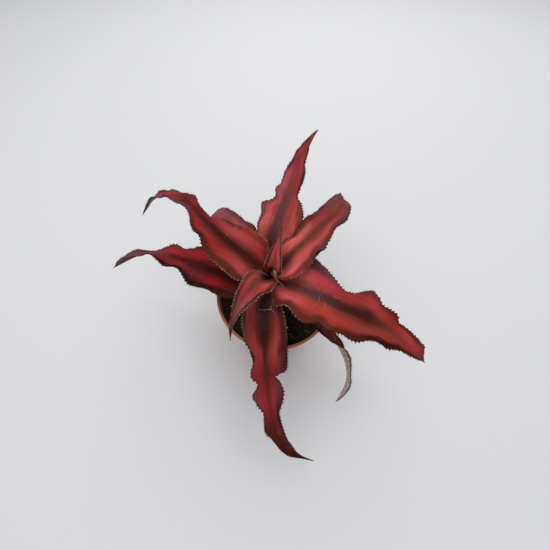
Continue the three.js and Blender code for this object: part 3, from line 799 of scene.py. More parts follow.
def with_margin(f, look, at, g, colour):
    """The dark or olive margin, a darker fringe at the very edge, and painted shade of soot at the foot.
    """
    rim = at.rim + g.vein * 0.8 + g.drift * 0.8 + g.grain * 0.25
    rim_colour = f.shade(two_sided(f, look, "margin", at), 1.0 + g.hair * 1.0 + g.grain * 0.7)
    in_margin = f.step(rim, 1.0 + MARGIN_SOFT, 1.0 - MARGIN_SOFT) * MARGIN_COVER
    colour = f.mix(in_margin, colour, rim_colour)
    fringe = f.step(at.edge_mm + g.grain * 0.7, FRINGE_WIDTH, 0.3 * FRINGE_WIDTH)
    fringe = fringe * f.step(at.along, 0.06, 0.16)
    worn = pale_part(f, look, at) * look.get("fringe_worn", 0.7)
    colour = f.mix(fringe * (1.0 - worn) * FRINGE_COVER, colour, pigment(look.get("fringe", "garnet")))
    # Painted shade: soot over the first few millimetres of the leaf's foot.
    return f.mix(f.step(at.run_mm, 5.0, 1.5) * look.get("painted_foot_shade", 0.0), colour, pigment("soot"))


# %% Scratches
TRAIL_WIDTH = 0.28
TRAIL_COVER = 0.45


def length_of(f, x, y):
    return f.node("ShaderNodeVectorMath", {"operation": "LENGTH"}, {0: f.vector(x, y)}, "Value")


def scratch(f, side, run, start, end, width):
    """1 on a short straight scratch between two places of the leaf, in millimetres, 0 off it."""
    across, along = end[0] - start[0], end[1] - start[1]
    square = across * across + along * along
    reached = ((side - start[0]) * across + (run - start[1]) * along) / square
    share = f.node("ShaderNodeClamp", {}, {"Value": reached, "Min": 0.0, "Max": 1.0})
    gap = length_of(f, side - start[0] - share * across, run - start[1] - share * along)
    return f.step(gap, width, 0.3 * width)


def trail(f, side, run, points, width):
    """1 on a scratch that wanders through several places, 0 off it."""
    whole, *parts = [scratch(f, side, run, start, end, width) for start, end in zip(points, points[1:])]
    for part in parts:
        whole = f.node("ShaderNodeMath", {"operation": "MAXIMUM"}, {0: whole, 1: part})
    return whole


# %% Scurf, flakes and scratches
SCURF_END = 0.35
SCURF_COVER = 0.05
FLAKE_COVER = 0.4


def with_wear(f, look, at, g, seed, colour):
    """Grey scurf on the base, a few flakes of it further out, and the look's own scratches."""
    scurf = f.step(g.grain, 0.0, 0.2) * f.step(at.along, SCURF_END, 0.0) * SCURF_COVER
    flake = leaf_noise(f, seed, across=1.1, along=0.8, shift=31.0, detail=1.0)
    colour = f.mix(scurf + f.step(flake, 0.74, 0.8) * FLAKE_COVER, colour, pigment("silver"))
    broken = f.step(g.grain + g.hair, -0.02, 0.2) * TRAIL_COVER
    for points in look.get("trails", []):
        mark = trail(f, at.side_mm + g.hair * 1.2, at.run_mm + g.vein * 2.0, points, TRAIL_WIDTH)
        colour = f.mix(mark * broken, colour, pigment("bone"))
    return colour


# %% The pale line and the teeth, and the whole upper side
LINE_COVER = 0.5
LEAF_GLOSS = 0.05
LEAF_ROUGHNESS = 0.52


def with_teeth(f, look, at, g, colour):
    """A broken pale line along the worn edge, and brown teeth with pale tips."""
    pale = pale_part(f, look, at)
    line = f.step(at.edge_mm, 0.45, 0.1) * f.step(g.grain + g.hair, -0.15, 0.1) * pale * LINE_COVER
    colour = f.mix(line, colour, pigment("sand"))
    tip = pale * f.step(at.edge_mm, -0.2, -0.6) * look.get("white_tips", 0.4)
    tooth = f.mix(tip, pigment("bark"), pigment("bone"))
    return f.mix(f.step(at.edge_mm, 0.0, -0.35), colour, tooth)


def upper_finish(name, look, seed):
    f = Finish(name)
    at = SimpleNamespace(**{mark: f.attribute(mark) for mark in MARKS})
    g = leaf_grains(f, seed)
    colour, in_stripe = striped(f, look, at, g)
    colour = with_margin(f, look, at, g, colour)
    colour = with_wear(f, look, at, g, seed, colour)
    colour = with_teeth(f, look, at, g, colour)
    rough = LEAF_ROUGHNESS + g.grain * 0.3 - in_stripe * 0.06
    normal = f.bump(g.vein * 0.8 + g.hair * 0.4 + g.grain * 0.2, 0.3 * MM, 0.6)
    return f.surface({"Base Color": colour, "Roughness": rough, "Normal": normal,
                      "Specular IOR Level": LEAF_GLOSS})


# %% [markdown]
# ## The underside
#
# Underneath, the leaf is covered with silvery scales that hide most of its red. They lie in short
# dashes along the veins, thinner towards the edge, where a dark red line shows. One function makes
# this side too, and each leaf gets it as its second material, on the lower skin.

# %% The finish of the underside
CLOUD_SHARE = 0.3
UNDER_EDGE_COVER = 0.85
UNDER_ROUGHNESS = 0.62


def under_finish(name, look, seed):
    f = Finish(name)
    dashes = leaf_noise(f, seed, across=2.4, along=0.45, detail=4.0, roughness=0.65)
    cloud = leaf_noise(f, seed, across=0.15, along=0.08, shift=4.0, detail=2.0)
    skin, scales = pigment(look.get("skin", "oxblood")), pigment(look.get("scales", "silver"))
    colour = f.mix(f.step(dashes, 0.36, 0.6), skin, scales)
    colour = f.mix(f.step(cloud, 0.35, 0.7) * CLOUD_SHARE, colour, pigment("mauve"))
    near_edge = f.step(f.attribute("edge_mm") + (dashes - 0.5) * 1.2, 1.0, 0.1) * UNDER_EDGE_COVER
    colour = f.mix(near_edge, colour, pigment(look.get("under_edge", "ember")))
    return f.surface({"Base Color": colour, "Roughness": UNDER_ROUGHNESS,
                      "Normal": f.bump(dashes, 0.2 * MM, 0.5), "Specular IOR Level": LEAF_GLOSS})


# %% [markdown]
# ## The six big leaves
#
# Each big leaf has its own pigments. The three upper ones and the southeast leaf stood in the light
# and are scarlet to rose; the west and the south leaf lie in the shade below them, and their dark
# colours are partly their own and partly painted shade. Their colours run from base to tip. The widths
# of stripe and margin are pairs too: share of the leaf, and width as a share of the half blade.
# Scratches are places to the left of the midrib and along it.

# %% The looks of the big leaves
BIG_LOOKS = {
    "leaf_north": dict(
        # The ruby stop about two thirds out on the left is painted shade where the blade narrows and
        # tilts.
        band="brick wine blush petal rose rose ruby brick mauve mauve",
        band_right="coral coral petal coral crimson crimson crimson ruby umber mauve",
        stripe="earth earth mauve mauve crimson wine brick mauve",
        stripe_width=[(0, 0.5), (0.15, 0.5), (0.3, 0.3), (0.45, 0.3), (0.58, 0.24), (0.7, 0.06),
                      (1, 0.03)],
        margin="brick brick mulberry dusk mulberry wine moss umber",
        margin_right="crimson brick umber oxblood garnet oxblood olive",
        margin_width=[(0, 0.05), (0.25, 0.08), (0.33, 0.3), (0.45, 0.1), (0.55, 0.22), (0.65, 0.34),
                      (0.78, 0.3), (1, 0.3)],
        margin_width_right=[(0, 0.05), (0.15, 0.12), (0.25, 0.1), (0.35, 0.3), (0.45, 0.15), (0.55, 0.25),
                            (0.62, 0.2), (1, 0.2)],
        pale_end=0.05, halo="olive",
        trails=[((10.3, 35), (7.2, 37), (4.3, 37)), ((-3.6, 45), (-5.2, 38), (-5.7, 32.5))]),
    "leaf_northeast": dict(
        # The petal and blush near the base are partly the leaf's own coral and partly a painted sheen.
        band="petal petal blush blush scarlet brick mauve mauve",
        band_right="blush blush petal coral coral crimson mauve umber",
        stripe="bark earth umber umber olive olive olive earth",
        stripe_width=[(0, 0.3), (0.15, 0.36), (0.25, 0.2), (0.5, 0.24), (0.7, 0.2), (0.85, 0.14),
                      (1, 0.08)],
        margin="flame brick olive umber earth mulberry mauve dusk",
        margin_right="scarlet crimson olive plum olive plum umber mulberry",
        margin_width=[(0, 0), (0.15, 0.05), (0.25, 0.2), (0.35, 0.25), (0.45, 0.35), (0.65, 0.36),
                      (0.75, 0.4), (0.9, 0.3), (1, 0.3)],
        margin_width_right=[(0, 0.1), (0.15, 0.2), (0.25, 0.3), (0.35, 0.28), (0.45, 0.35), (0.55, 0.28),
                            (0.75, 0.4), (1, 0.3)],
        pale_end=0.25, halo="olive"),
    "leaf_northwest": dict(
        band="brick coral rust rust wine oxblood crimson dusk silver silver",
        band_right="claret poppy coral ruby wine wine brick rose silver ash",
        stripe="moss bark ember oxblood oxblood ruby dusk ash",
        stripe_width=[(0, 0.4), (0.12, 0.26), (0.25, 0.26), (0.38, 0.3), (0.5, 0.2), (0.7, 0.08),
                      (1, 0.04)],
        margin="plum moss garnet mauve mauve dusk dusk",
        margin_right="wine brick mulberry olive mulberry umber mulberry",
        margin_width=[(0, 0.1), (0.1, 0.25), (0.2, 0.3), (0.35, 0.22), (0.45, 0.3), (0.55, 0.3),
                      (0.7, 0.25), (1, 0.3)],
        margin_width_right=[(0, 0.3), (0.12, 0.3), (0.2, 0.24), (0.3, 0.14), (0.4, 0.06), (0.6, 0.15),
                            (1, 0.2)],
        pale_end=0.16, halo="oxblood",
        trails=[((0.3, 39.3), (-8.4, 38.7), (-12.7, 35.8))]),
    "leaf_west": dict(
        band="brick claret cherry wine ruby wine olive ash ash ash",
        band_right="ruby poppy cherry cherry claret crimson mulberry dusk ash ash",
        stripe="garnet garnet garnet oxblood mulberry dusk ash",
        stripe_width=[(0, 0.4), (0.2, 0.26), (0.4, 0.26), (0.55, 0.14), (0.75, 0.05), (1, 0.03)],
        margin="umber bark soot soot ember mauve ash",
        margin_right="ruby crimson olive plum dusk dusk ash",
        margin_width=[(0, 0.3), (0.15, 0.38), (0.25, 0.24), (0.35, 0.36), (0.45, 0.22), (0.55, 0.35),
                      (0.7, 0.3), (1, 0.3)],
        margin_width_right=[(0, 0), (0.2, 0.02), (0.3, 0.1), (0.36, 0.2), (0.45, 0.1), (1, 0.1)],
        pale_end=-0.2, glow="claret", halo="oxblood"),
    "leaf_southeast": dict(
        # The blush near the base is partly the leaf's own coral and partly painted light: a sheen, and a
        # lift where the northeast leaf's shadow falls.
        band="blush blush poppy claret scarlet claret scarlet wine",
        band_right="coral petal flame flame brick brick crimson wine",
        stripe="earth umber plum bark bark olive crimson wine",
        stripe_width=[(0, 0.3), (0.15, 0.2), (0.3, 0.22), (0.5, 0.28), (0.65, 0.26), (0.78, 0.1),
                      (1, 0.03)],
        margin="petal plum mauve mulberry olive moss moss mauve",
        margin_right="brick moss moss moss ember soot garnet bark",
        margin_width=[(0, 0.1), (0.12, 0.34), (0.25, 0.28), (0.35, 0.2), (0.45, 0.06), (0.55, 0.25),
                      (0.7, 0.26), (0.85, 0.28), (1, 0.3)],
        margin_width_right=[(0, 0.3), (0.25, 0.3), (0.35, 0.28), (0.45, 0.2), (0.55, 0.28), (0.65, 0.24),
                            (0.75, 0.36), (0.85, 0.36), (1, 0.3)],
        # Soot at the foot is painted shade.
        pale_end=0.2, painted_foot_shade=0.8,
        trails=[((9.1, 40), (4.3, 36.6), (0.4, 35), (-4.8, 36.2), (-9.6, 34.2), (-13.9, 33.7)),
                ((-2.4, 38.7), (-4.6, 40.8), (-8.2, 41.2)), ((2.7, 44.1), (4.7, 47.5)),
                ((-1.6, 29), (-1.4, 29.5))]),
    "leaf_south": dict(
        band="crimson dusk crimson scarlet wine crimson wine oxblood ember bark",
        band_right="wine petal crimson crimson ruby crimson wine oxblood soot bark",
        stripe="earth slate ember earth ruby oxblood ember bark",
        stripe_width=[(0, 0.5), (0.14, 0.4), (0.25, 0.32), (0.35, 0.18), (0.45, 0.14), (0.7, 0.1),
                      (1, 0.05)],
        margin="olive earth ember plum ember earth bark",
        margin_right="mauve plum umber mulberry earth ember soot",
        margin_width=[(0, 0.3), (0.25, 0.3), (0.35, 0.33), (0.45, 0.2), (0.55, 0.36), (0.7, 0.25),
                      (1, 0.3)],
        margin_width_right=[(0, 0.1), (0.15, 0.1), (0.25, 0.26), (0.35, 0.06), (0.45, 0.06), (0.55, 0.28),
                            (0.65, 0.1), (0.75, 0.38), (1, 0.3)],
        pale_end=0.2, glow="crimson", halo="bark"),
}

# %% The big leaves


def dressed_leaf(name, look, seed, pitch=TOOTH_PITCH, tooth_height=TOOTH_HEIGHT):
    """A fine leaf with both its finishes."""
    upper = upper_finish(name + "_upper", look, seed)
    under = under_finish(name + "_under", look, seed)
    piece = leaf_piece(name, look, [upper, under], pitch, tooth_height)
    print(piece.name, len(piece.data.polygons), "faces")
    return piece


for seed, (name, look) in enumerate(BIG_LOOKS.items()):
    dressed_leaf(name, look, 20.0 * seed)

# %% [markdown]
# ## The leaves below
#
# Four older leaves lie under the others and show as a mauve back, a tip and a shoulder. The one
# below the southeast leaf turns over as it hangs and shows its silvery side. They are made as the
# big ones are, with fewer words for their looks.

# %% The looks of the lower leaves
LOWER_LOOKS = {
    "leaf_behind_northeast": dict(
        band="wine wine mauve mauve", stripe="bark oxblood mauve",
        stripe_width=[(0, 0.3), (0.6, 0.2), (1, 0.05)], margin="bark oxblood mauve",
        margin_width=[(0, 0.25), (1, 0.3)], pale_end=-0.2, halo="wine"),
    "leaf_behind_northwest": dict(
        band="wine mulberry rose scarlet mulberry", band_right="wine petal dusk dusk",
        stripe="bark wine rose",
        stripe_width=[(0, 0.3), (0.6, 0.1), (1, 0.05)], margin="bark mauve mulberry",
        margin_width=[(0, 0.2), (1, 0.26)], pale_end=-0.2, glow="crimson", halo="mauve"),
    "leaf_under_southeast": dict(
        band="oxblood brick brick mulberry", band_right="oxblood olive mulberry bark",
        stripe="bark olive bark",
        stripe_width=[(0, 0.3), (0.6, 0.15), (1, 0.05)], margin="bark bark bark",
        margin_width=[(0, 0.2), (1, 0.28)], margin_width_right=[(0, 0.3), (1, 0.45)],
        pale_end=-0.2, glow="wine", halo="garnet", skin="mauve", scales="bone"),
    "leaf_under_south": dict(
        band="oxblood garnet garnet", stripe="soot ember garnet",
        stripe_width=[(0, 0.3), (0.6, 0.15), (1, 0.05)], margin="soot ember ember",
        margin_width=[(0, 0.3), (1, 0.4)], pale_end=-0.2, glow="oxblood", halo="garnet"),
}

for seed, (name, look) in enumerate(LOWER_LOOKS.items()):
    dressed_leaf(name, look, 150.0 + 20.0 * seed)

# %% [markdown]
# ## The young leaves
#
# Two young leaves stand in the heart. They are folded more sharply along the midrib, their teeth sit
# closer, and the teeth's tips are still white. A leaf of this age hasn't its stripe yet, only a
# crease of shade along the midrib and a dark, olive foot.

# %% The looks of the young leaves
YOUNG_LOOKS = {
    "leaf_inner_southwest": dict(
        band="garnet petal scarlet dusk mauve plum",
        band_right="umber coral crimson mulberry olive mauve",
        stripe="soot umber olive crimson brick plum",
        stripe_width=[(0, 0.6), (0.2, 0.35), (0.5, 0.14), (1, 0.1)],
        margin="umber brick bark earth earth plum",
        margin_right="dusk olive earth bark earth",
        margin_width=[(0, 0.2), (0.3, 0.24), (1, 0.38)],
        margin_width_right=[(0, 0.16), (0.2, 0.3), (1, 0.48)],
        pale_end=0.8, white_tips=0.55, fringe="bark", fringe_worn=0.3),
    "leaf_inner_north": dict(
        band="ruby blush blush blush petal rose mauve",
        stripe="ruby petal coral coral coral brick",
        stripe_width=[(0, 0.5), (0.3, 0.2), (1, 0.1)], margin="ruby wine olive brick",
        margin_right="sand crimson ruby olive olive brick brick brick",
        margin_width=[(0, 0.28), (1, 0.4)], margin_width_right=[(0, 0.7), (0.12, 0.28), (1, 0.3)],
        pale_end=0.9, white_tips=0.9, fringe="ember", fringe_worn=0.0),
}
YOUNG_PITCH = 1.7
YOUNG_TOOTH_HEIGHT = 0.85

for seed, (name, look) in enumerate(YOUNG_LOOKS.items()):
    dressed_leaf(name, look, 240.0 + 20.0 * seed, YOUNG_PITCH, YOUNG_TOOTH_HEIGHT)

# %% [markdown]
# ## The heart
#
# The newest two leaves are no longer than a fingertip and have no teeth or stripe. They are olive
# where they wrap the growing point, with painted shade of soot at their feet and along their middles
# deep in the heart, and dry to tan where one of them curls over. The same blade makes them, with
# teeth of no height.

# %% The heart leaves
# Soot and bark in these ramps, at the feet, along the middle and on the right of the south leaf, are
# painted shade of the deep heart.
HEART_LOOKS = {
    "heart_leaf_south": dict(
        band="moss moss bark umber straw umber dusk sand",
        stripe="soot soot soot soot bark mulberry dusk sand",
        stripe_width=[(0, 0.4), (0.5, 0.3), (1, 0.1)],
        margin="moss moss umber straw cream dusk sand sand",
        margin_right="soot soot ember mulberry dusk sand",
        margin_width=[(0, 0.3), (1, 0.3)], pale_end=-0.2, halo="moss", glow="straw", fringe="umber",
        skin="moss", scales="straw", under_edge="moss"),
    "heart_leaf_west": dict(
        band="soot bark umber", stripe="soot soot moss",
        stripe_width=[(0, 0.6), (0.5, 0.3), (1, 0.1)],
        margin="moss mulberry dusk", margin_right="bark bark moss",
        margin_width=[(0, 0.35), (1, 0.5)], pale_end=-0.2, halo="bark", glow="bark", fringe="umber",
        skin="umber", scales="sand", under_edge="umber"),
}
HEART_PITCH = 1.1

for seed, (name, look) in enumerate(HEART_LOOKS.items()):
    dressed_leaf(name, look, 290.0 + 20.0 * seed, HEART_PITCH, 0.0)

# %% [markdown]
# ## The crown
#
# The crown is the short stem that all the leaves grow from. It is a turned form, like a candle that
# narrows upwards, so its outline is drawn once and spun round. Scars of old leaves ring it, its skin
# is mottled, and its top is painted nearly black, as painted shade in the hollow between the young leaves.

# %% Outlines that are spun round an axis
MERGE_DISTANCE = 0.01


def spun(outline, steps, axis=(0, 0)):
    """Spins an outline of radius and height, in millimetres, once round an upright axis."""
    bm = bmesh.new()
    places = [Vector((axis[0] + radius, axis[1], height)) * MM for radius, height in outline]
    corners = [bm.verts.new(place) for place in places]
    edges = [bm.edges.new(pair) for pair in zip(corners, corners[1:])]
    centre = (axis[0] * MM, axis[1] * MM, 0)
    bmesh.ops.spin(bm, geom=corners + edges, cent=centre, axis=(0, 0, 1), angle=2 * math.pi,
                   steps=steps, use_merge=True, use_normal_flip=False, use_duplicate=False)
    bmesh.ops.remove_doubles(bm, verts=bm.verts, dist=MERGE_DISTANCE * MM)
    bmesh.ops.recalc_face_normals(bm, faces=bm.faces)
    for face in bm.faces:
        face.smooth = True
    return bm


def finer(outline, step):
    """The same outline with points no more than about a step apart."""
    points = [outline[0]]
    for start, end in zip(outline, outline[1:]):
        count = max(1, round(math.dist(start, end) / step))
        points += [tuple(a + (b - a) * i / count for a, b in zip(start, end)) for i in range(1, count + 1)]
    return points


# %% The crown
CROWN_OUTLINE = [(0, 50), (6.7, 50), (8.2, 51.5), (8.2, 67), (2.2, 91), (0, 91)]
CROWN_STEP = 0.6
CROWN_STEPS = 48
CROWN_PAINTED_SHADE = (0.08, 0.088)
SCAR_PITCH = 2.4
SCAR_DEPTH = 0.06

crown_finish = Finish("crown")
place = crown_finish.place()
fibre = crown_finish.noise(place, 900.0, 4.0, 0.6)
patch = crown_finish.noise(place, 160.0, 2.0)
stem = crown_finish.mix(crown_finish.step(patch, 0.4, 0.65), pigment("celery"), pigment("sand"))
stem = crown_finish.mix(crown_finish.step(fibre, 0.45, 0.7) * 0.6, stem, pigment("moss"))
height = crown_finish.node("ShaderNodeSeparateXYZ", {}, {0: place}, output=2)
# Painted shade: the top of the crown turns near black where it sits deep between the young leaves.
stem = crown_finish.mix(crown_finish.step(height, *CROWN_PAINTED_SHADE), stem, pigment("ember"))
crown_material = crown_finish.surface({
    "Base Color": stem, "Roughness": 0.65, "Normal": crown_finish.bump(fibre, 0.3 * MM, 0.6),
    "Specular IOR Level": LEAF_GLOSS})

crown_mesh = spun(finer(CROWN_OUTLINE, CROWN_STEP), CROWN_STEPS, CROWN_AXIS.xy)
for vertex in crown_mesh.verts:
    outward = Vector((vertex.co.x, vertex.co.y, 0)) - Vector((CROWN_AXIS.x, CROWN_AXIS.y, 0)) * MM
    scar = abs(math.sin(math.pi * vertex.co.z / MM / SCAR_PITCH)) - 1
    vertex.co += outward * SCAR_DEPTH * scar
crown = add_piece("fine_crown", crown_mesh, [crown_material])
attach(crown, "root")
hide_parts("crown")
print(crown.name, len(crown.data.polygons), "faces")

# %% [markdown]
# ## The potting mix
#
# The mix is peat with bits of bark, nearly black when it is moist. Its surface is a spun form with
# lumps, and on it lie over a thousand crumbs. A crumb repeats so often that a twenty-sided ball,
# stretched and turned at random, is all it needs.

# %% The body of the mix
SOIL_TOP = 64.0
SOIL_WALL = [(29.5, 2.7), (40.9, 58.4), (41.5, 60.6), (41.9, 63.2)]
SOIL_HOLE = 8.5
SOIL_HOLE_FLOOR = 49.7
SOIL_STEPS = 96
TOP_STEP = 0.9
WALL_STEP = 6
NEAR = 0.1
SINK = 0.9
BROAD_LUMPS = 0.55
SMALL_LUMPS = 0.45


def soil_shift(radius):
    """How far the top is pushed towards the crown's axis, as a share: all of it at the hole."""
    return clamp((SOIL_WALL[-1][0] - radius) / (SOIL_WALL[-1][0] - SOIL_HOLE))


def soil_height(x, y):
    """The lumpy surface of the mix, in millimetres."""
    broad = noise.noise((x * 0.13, y * 0.13, 3.0))
    lumps = noise.noise((x * 0.55, y * 0.55, 8.0))
    return SOIL_TOP - SINK + BROAD_LUMPS * broad + SMALL_LUMPS * lumps


top_outline = finer([SOIL_WALL[-1], (SOIL_HOLE, SOIL_TOP)], TOP_STEP)
soil_outline = [(0, SOIL_WALL[0][1])] + finer(SOIL_WALL, WALL_STEP) + top_outline[1:]
soil_outline += [(SOIL_HOLE, SOIL_HOLE_FLOOR), (0, SOIL_HOLE_FLOOR)]
soil_mesh = spun(soil_outline, SOIL_STEPS)
for vertex in soil_mesh.verts:
    x, y, z = vertex.co / MM
    radius = math.hypot(x, y)
    on_top = z > SOIL_WALL[-1][1] - NEAR
    if on_top or (radius < SOIL_HOLE + NEAR and z > SOIL_HOLE_FLOOR - NEAR):
        shift = soil_shift(radius)
        x += CROWN_AXIS.x * shift
        y += CROWN_AXIS.y * shift
        if on_top:
            z = soil_height(x, y)
        vertex.co = Vector((x, y, z)) * MM

# %% The finish of the mix


def soil_finish(name, dark, light):
    f = Finish(name)
    place = f.place()
    crumb = f.noise(place, 420.0, 5.0, 0.65)
    fleck = f.noise(place, 1500.0, 2.0)
    colour = f.mix(f.step(crumb, 0.35, 0.7), dark, light)
    colour = f.mix(f.step(fleck, 0.66, 0.74) * 0.5, colour, pigment("sand"))
    normal = f.bump(crumb, 0.8 * MM, 0.9)
    return f.surface({"Base Color": colour, "Roughness": 0.9, "Normal": normal, "Specular IOR Level": 0.2})


PEAT = paint("17120f")
PEAT_LIGHT = paint("33271f")
BARK_DARK = paint("2a1c14")
BARK_LIGHT = paint("5a4231")
soil_material = soil_finish("peat", PEAT, PEAT_LIGHT)
bark_material = soil_finish("bark_crumbs", BARK_DARK, BARK_LIGHT)

soil = add_piece("fine_soil", soil_mesh, [soil_material])
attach(soil, "root")
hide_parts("soil")
print(soil.name, len(soil.data.polygons), "faces")

# %% The crumbs on it
CRUMBS = 1500
CRUMB_RADIUS = (0.35, 1.15)
BARK_SHARE = 0.14
CRUMB_REACH = (10.5, 40.6)
CRUMB_LIFT = 0.2
CRUMB_TILT = 0.4
CRUMB_STRETCH = ((0.7, 1.3), (0.6, 1.0), (0.4, 0.8))
BARK_STRETCH = ((1.3, 2.4), (0.5, 0.9))
BARK_FLATNESS = 0.35


def scattered(dice, reaches):
    """A random distance from the axis that spreads things evenly over a ring between two reaches."""
    inner, outer = reaches
    return math.sqrt(dice.uniform(inner ** 2, outer ** 2))


dice = random.Random(5)
crumb_mesh = bmesh.new()
for _ in range(CRUMBS):
    reach = scattered(dice, CRUMB_REACH)
    turn = dice.uniform(0, 2 * math.pi)
    x = reach * math.cos(turn) + CROWN_AXIS.x * soil_shift(reach)
    y = reach * math.sin(turn) + CROWN_AXIS.y * soil_shift(reach)
    size = dice.uniform(*CRUMB_RADIUS)
    is_bark = dice.random() < BARK_SHARE
    stretch = Vector([dice.uniform(*limits) for limits in CRUMB_STRETCH])
    if is_bark:
        stretch = Vector([dice.uniform(*limits) for limits in BARK_STRETCH] + [BARK_FLATNESS])
    where = Matrix.Translation(Vector((x, y, soil_height(x, y) + CRUMB_LIFT * size)) * MM)
    spin = Matrix.Rotation(dice.uniform(0, math.pi), 4, "Z")
    tilt = Matrix.Rotation(dice.uniform(-CRUMB_TILT, CRUMB_TILT), 4, "X")
    shape = Matrix.Diagonal((*(stretch * size * MM), 1))
    made = bmesh.ops.create_icosphere(crumb_mesh, subdivisions=1, radius=1,
                                      matrix=where @ spin @ tilt @ shape)
    if is_bark:
        for face in {face for vertex in made["verts"] for face in vertex.link_faces}:
            face.material_index = 1
crumbs = add_piece("soil_crumbs", crumb_mesh, [soil_material, bark_material])
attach(crumbs, "root")
print(crumbs.name, len(crumbs.data.polygons), "faces")

# %% [markdown]
# ## Threads
#
# Thin pale threads lie in the mix, and a small three-armed one, white, has dropped on the south leaf.
# A thread is a circle of six corners that is extruded along a short bent line and gets thinner.

# %% A thread along a bent line
THREAD_TAPER = (0.85, 0.85, 0.85)


def add_thread(bm, points, radius):
    """Adds a thin closed tube through points in millimetres; it narrows to its far end."""
    turn = (points[1] - points[0]).to_track_quat("Z", "Y").to_matrix().to_4x4()
    ring = bmesh.ops.create_circle(bm, cap_ends=True, segments=6, radius=radius * MM,
                                   matrix=Matrix.Translation(points[0] * MM) @ turn)["verts"]
    for before, point in zip(points, points[1:]):
        faces = [face for face in ring[0].link_faces if all(vertex in face.verts for vertex in ring)]
        grown = bmesh.ops.extrude_face_region(bm, geom=faces)["geom"]
        ring = [item for item in grown if isinstance(item, bmesh.types.BMVert)]
        bmesh.ops.translate(bm, verts=ring, vec=(point - before) * MM)
        bmesh.ops.scale(bm, verts=ring, vec=THREAD_TAPER, space=Matrix.Translation(-point * MM))


THREAD_DARK = paint("5a4c3e")
THREAD_LIGHT = paint("a89a88")
thread_finish = Finish("threads")
thread_noise = thread_finish.noise(thread_finish.place(), 900.0, 2.0)
thread_material = thread_finish.surface({
    "Base Color": thread_finish.mix(thread_noise, THREAD_DARK, THREAD_LIGHT), "Roughness": 0.8})

THREADS = 12
THREAD_POINTS = 6
THREAD_REACH = (18, 38)
THREAD_LIFT = 1.0
THREAD_BEND = 0.5
THREAD_STEP = (0.6, 1.3)
THREAD_RADIUS = (0.1, 0.2)

dice = random.Random(11)
thread_mesh = bmesh.new()
for _ in range(THREADS):
    reach = scattered(dice, THREAD_REACH)
    turn = dice.uniform(0, 2 * math.pi)
    heading = dice.uniform(0, 2 * math.pi)
    x, y = reach * math.cos(turn), reach * math.sin(turn)
    points = []
    for _ in range(THREAD_POINTS):
        points.append(Vector((x, y, soil_height(x, y) + THREAD_LIFT)))
        heading += dice.uniform(-THREAD_BEND, THREAD_BEND)
        step = dice.uniform(*THREAD_STEP)
        x, y = x + step * math.cos(heading), y + step * math.sin(heading)
    add_thread(thread_mesh, points, dice.uniform(*THREAD_RADIUS))
bmesh.ops.recalc_face_normals(thread_mesh, faces=thread_mesh.faces)
threads = add_piece("soil_threads", thread_mesh, [thread_material])
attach(threads, "root")
print(threads.name, len(threads.data.polygons), "faces")

# %% The white fibre on the south leaf
FIBRE_LIFT = 0.75
FIBRE_CENTRE = (21.9, 0.4)
FIBRE_ARMS = [((20.9, -0.275), 0.11), ((18.4, 0.575), 0.2), ((24.4, 0.575), 0.18)]
FIBRE_STEPS = 7
FIBRE_SHADE = paint("c8bcb4")
FIBRE_WHITE = paint("f2ece6")


def on_leaf(leaf, distance, across, lift):
    """A point a little above a leaf, at a distance along it and a share across it."""
    station = min(leaf_stations(leaf, 0.5), key=lambda spot: abs(spot["distance"] - distance))
    width = half_width(leaf, station, -1 if across < 0 else 1)
    return blade_point(leaf, station, across, width) + station["up"] * lift


fibre_finish = Finish("fibre")
fibre_noise = fibre_finish.noise(fibre_finish.place(), 1200.0, 2.0)
fibre_material = fibre_finish.surface({
    "Base Color": fibre_finish.mix(fibre_noise, FIBRE_SHADE, FIBRE_WHITE), "Roughness": 0.7})
fibre_mesh = bmesh.new()
for end, radius in FIBRE_ARMS:
    arm = []
    for i in range(FIBRE_STEPS):
        distance, across = Vector(FIBRE_CENTRE).lerp(Vector(end), i / (FIBRE_STEPS - 1))
        arm.append(on_leaf(LEAVES["leaf_south"], distance, across, FIBRE_LIFT))
    add_thread(fibre_mesh, arm, radius)
bmesh.ops.recalc_face_normals(fibre_mesh, faces=fibre_mesh.faces)
fibre = add_piece("fibre_on_south_leaf", fibre_mesh, [fibre_material])
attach(fibre, "root")
print(fibre.name, len(fibre.data.polygons), "faces")

# %% [markdown]
# ## The pot
#
# The pot is a thin-walled plastic nursery pot: a tapered cup, a collar that stands out round its
# top, a rolled rim and a foot ring with drainage holes. Inside and outside are one outline that is
# spun round, and its corners are rounded first, because a moulded edge always catches a line of light.

# %% The pot's outline, with rounded corners
POT_OUTLINE = [(0, 0), (9, 0), (10.2, 1.2), (25.8, 1.2), (27, 0), (30, 0), (31, 1), (42.4, 59), (44, 59.6),
               (44.6, 66.4), (45, 67.2), (44.6, 68), (43.2, 68), (42.8, 67.2), (41.8, 60.6), (41.2, 58.4),
               (29.8, 2.4), (0, 2.4)]
CORNER_REACH = 0.45
CORNER_LIMIT = 0.45
CORNER_STEPS = 4
POT_STEPS = 128


def rounded(outline, reach, steps):
    """Rounds every corner of an outline with a short curve that starts a reach away from it."""
    points = [outline[0]]
    for before, corner, after in zip(outline, outline[1:], outline[2:]):
        start, middle, end = Vector(before), Vector(corner), Vector(after)
        into = middle.lerp(start, min(reach / (middle - start).length, CORNER_LIMIT))
        out = middle.lerp(end, min(reach / (middle - end).length, CORNER_LIMIT))
        for i in range(steps + 1):
            share = i / steps
            points.append(tuple(into.lerp(middle, share).lerp(middle.lerp(out, share), share)))
    return points + [outline[-1]]


pot_outline = rounded(POT_OUTLINE, CORNER_REACH, CORNER_STEPS)
pot_mesh = spun(pot_outline, POT_STEPS)
print("the pot's outline has", len(pot_outline), "points")

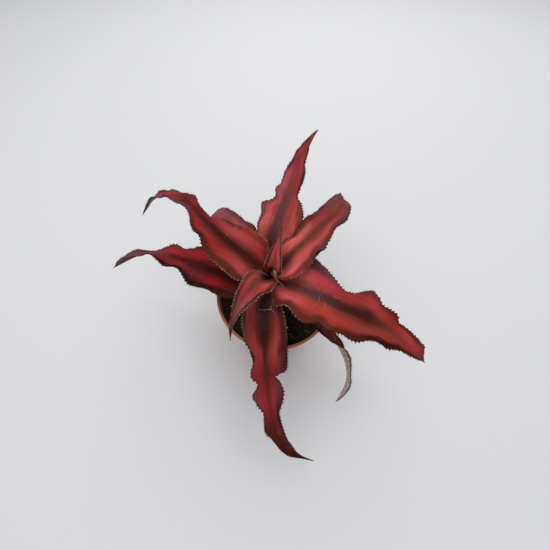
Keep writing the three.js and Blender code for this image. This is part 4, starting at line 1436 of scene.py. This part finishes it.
# %% The plastic
POT_DARK = paint("a35a3a")
POT_LIGHT = paint("b46a48")
POT_SCUFF = paint("cf9a7c")
POT_DARKER = paint("6b4a38")
f = Finish("terracotta_plastic")
place = f.place()
height = f.node("ShaderNodeSeparateXYZ", {}, {0: place}, output=2)
cloud = f.noise(place, 35.0, 3.0)
speck = f.noise(place, 1400.0, 2.0)
drawn_out = f.node("ShaderNodeMapping", {}, {"Vector": place, "Scale": (1.0, 1.0, 0.12)})
scuff = f.noise(drawn_out, 260.0, 4.0, 0.7)
colour = f.mix(f.step(cloud, 0.35, 0.7), POT_DARK, POT_LIGHT)
colour = f.mix(f.step(scuff, 0.58, 0.74) * 0.35, colour, POT_SCUFF)
# Darker towards the bottom, and in specks near the top of the rim.
darkening = f.step(height, 0.012, 0.0) + f.step(height, 0.0655, 0.0685) * f.step(speck, 0.45, 0.7)
colour = f.mix(darkening * 0.5, colour, POT_DARKER)
pot_material = f.surface({
    "Base Color": colour, "Roughness": 0.45 + (speck - 0.5) * 0.3,
    "Normal": f.bump(speck * 0.5 + scuff * 0.5, 0.08 * MM, 0.5)})

# %% The drainage holes, cut with plain cylinders
DRAIN_HOLES = 6
DRAIN_RADIUS = 3.5
DRAIN_CIRCLE = 18
DRAIN_MIDDLE = 1.8
DRAIN_DEPTH = 4

pot = add_piece("fine_pot", pot_mesh, [pot_material])
cutter_mesh = bmesh.new()
for i in range(DRAIN_HOLES):
    turn = 2 * math.pi * i / DRAIN_HOLES
    where = Vector((DRAIN_CIRCLE * math.cos(turn), DRAIN_CIRCLE * math.sin(turn), DRAIN_MIDDLE)) * MM
    bmesh.ops.create_cone(cutter_mesh, cap_ends=True, segments=32, radius1=DRAIN_RADIUS * MM,
                          radius2=DRAIN_RADIUS * MM, depth=DRAIN_DEPTH * MM,
                          matrix=Matrix.Translation(where))
cutter = add_piece("drain_cutter", cutter_mesh, [pot_material])
cut = pot.modifiers.new("drains", "BOOLEAN")
cut.operation = "DIFFERENCE"
cut.solver = "EXACT"
cut.object = cutter
bpy.context.view_layer.update()
cut_mesh = bpy.data.meshes.new_from_object(pot.evaluated_get(bpy.context.evaluated_depsgraph_get()))
pot.modifiers.clear()
pot.data = cut_mesh
bpy.data.objects.remove(cutter)
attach(pot, "root")
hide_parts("pot")
print(pot.name, len(pot.data.polygons), "faces")
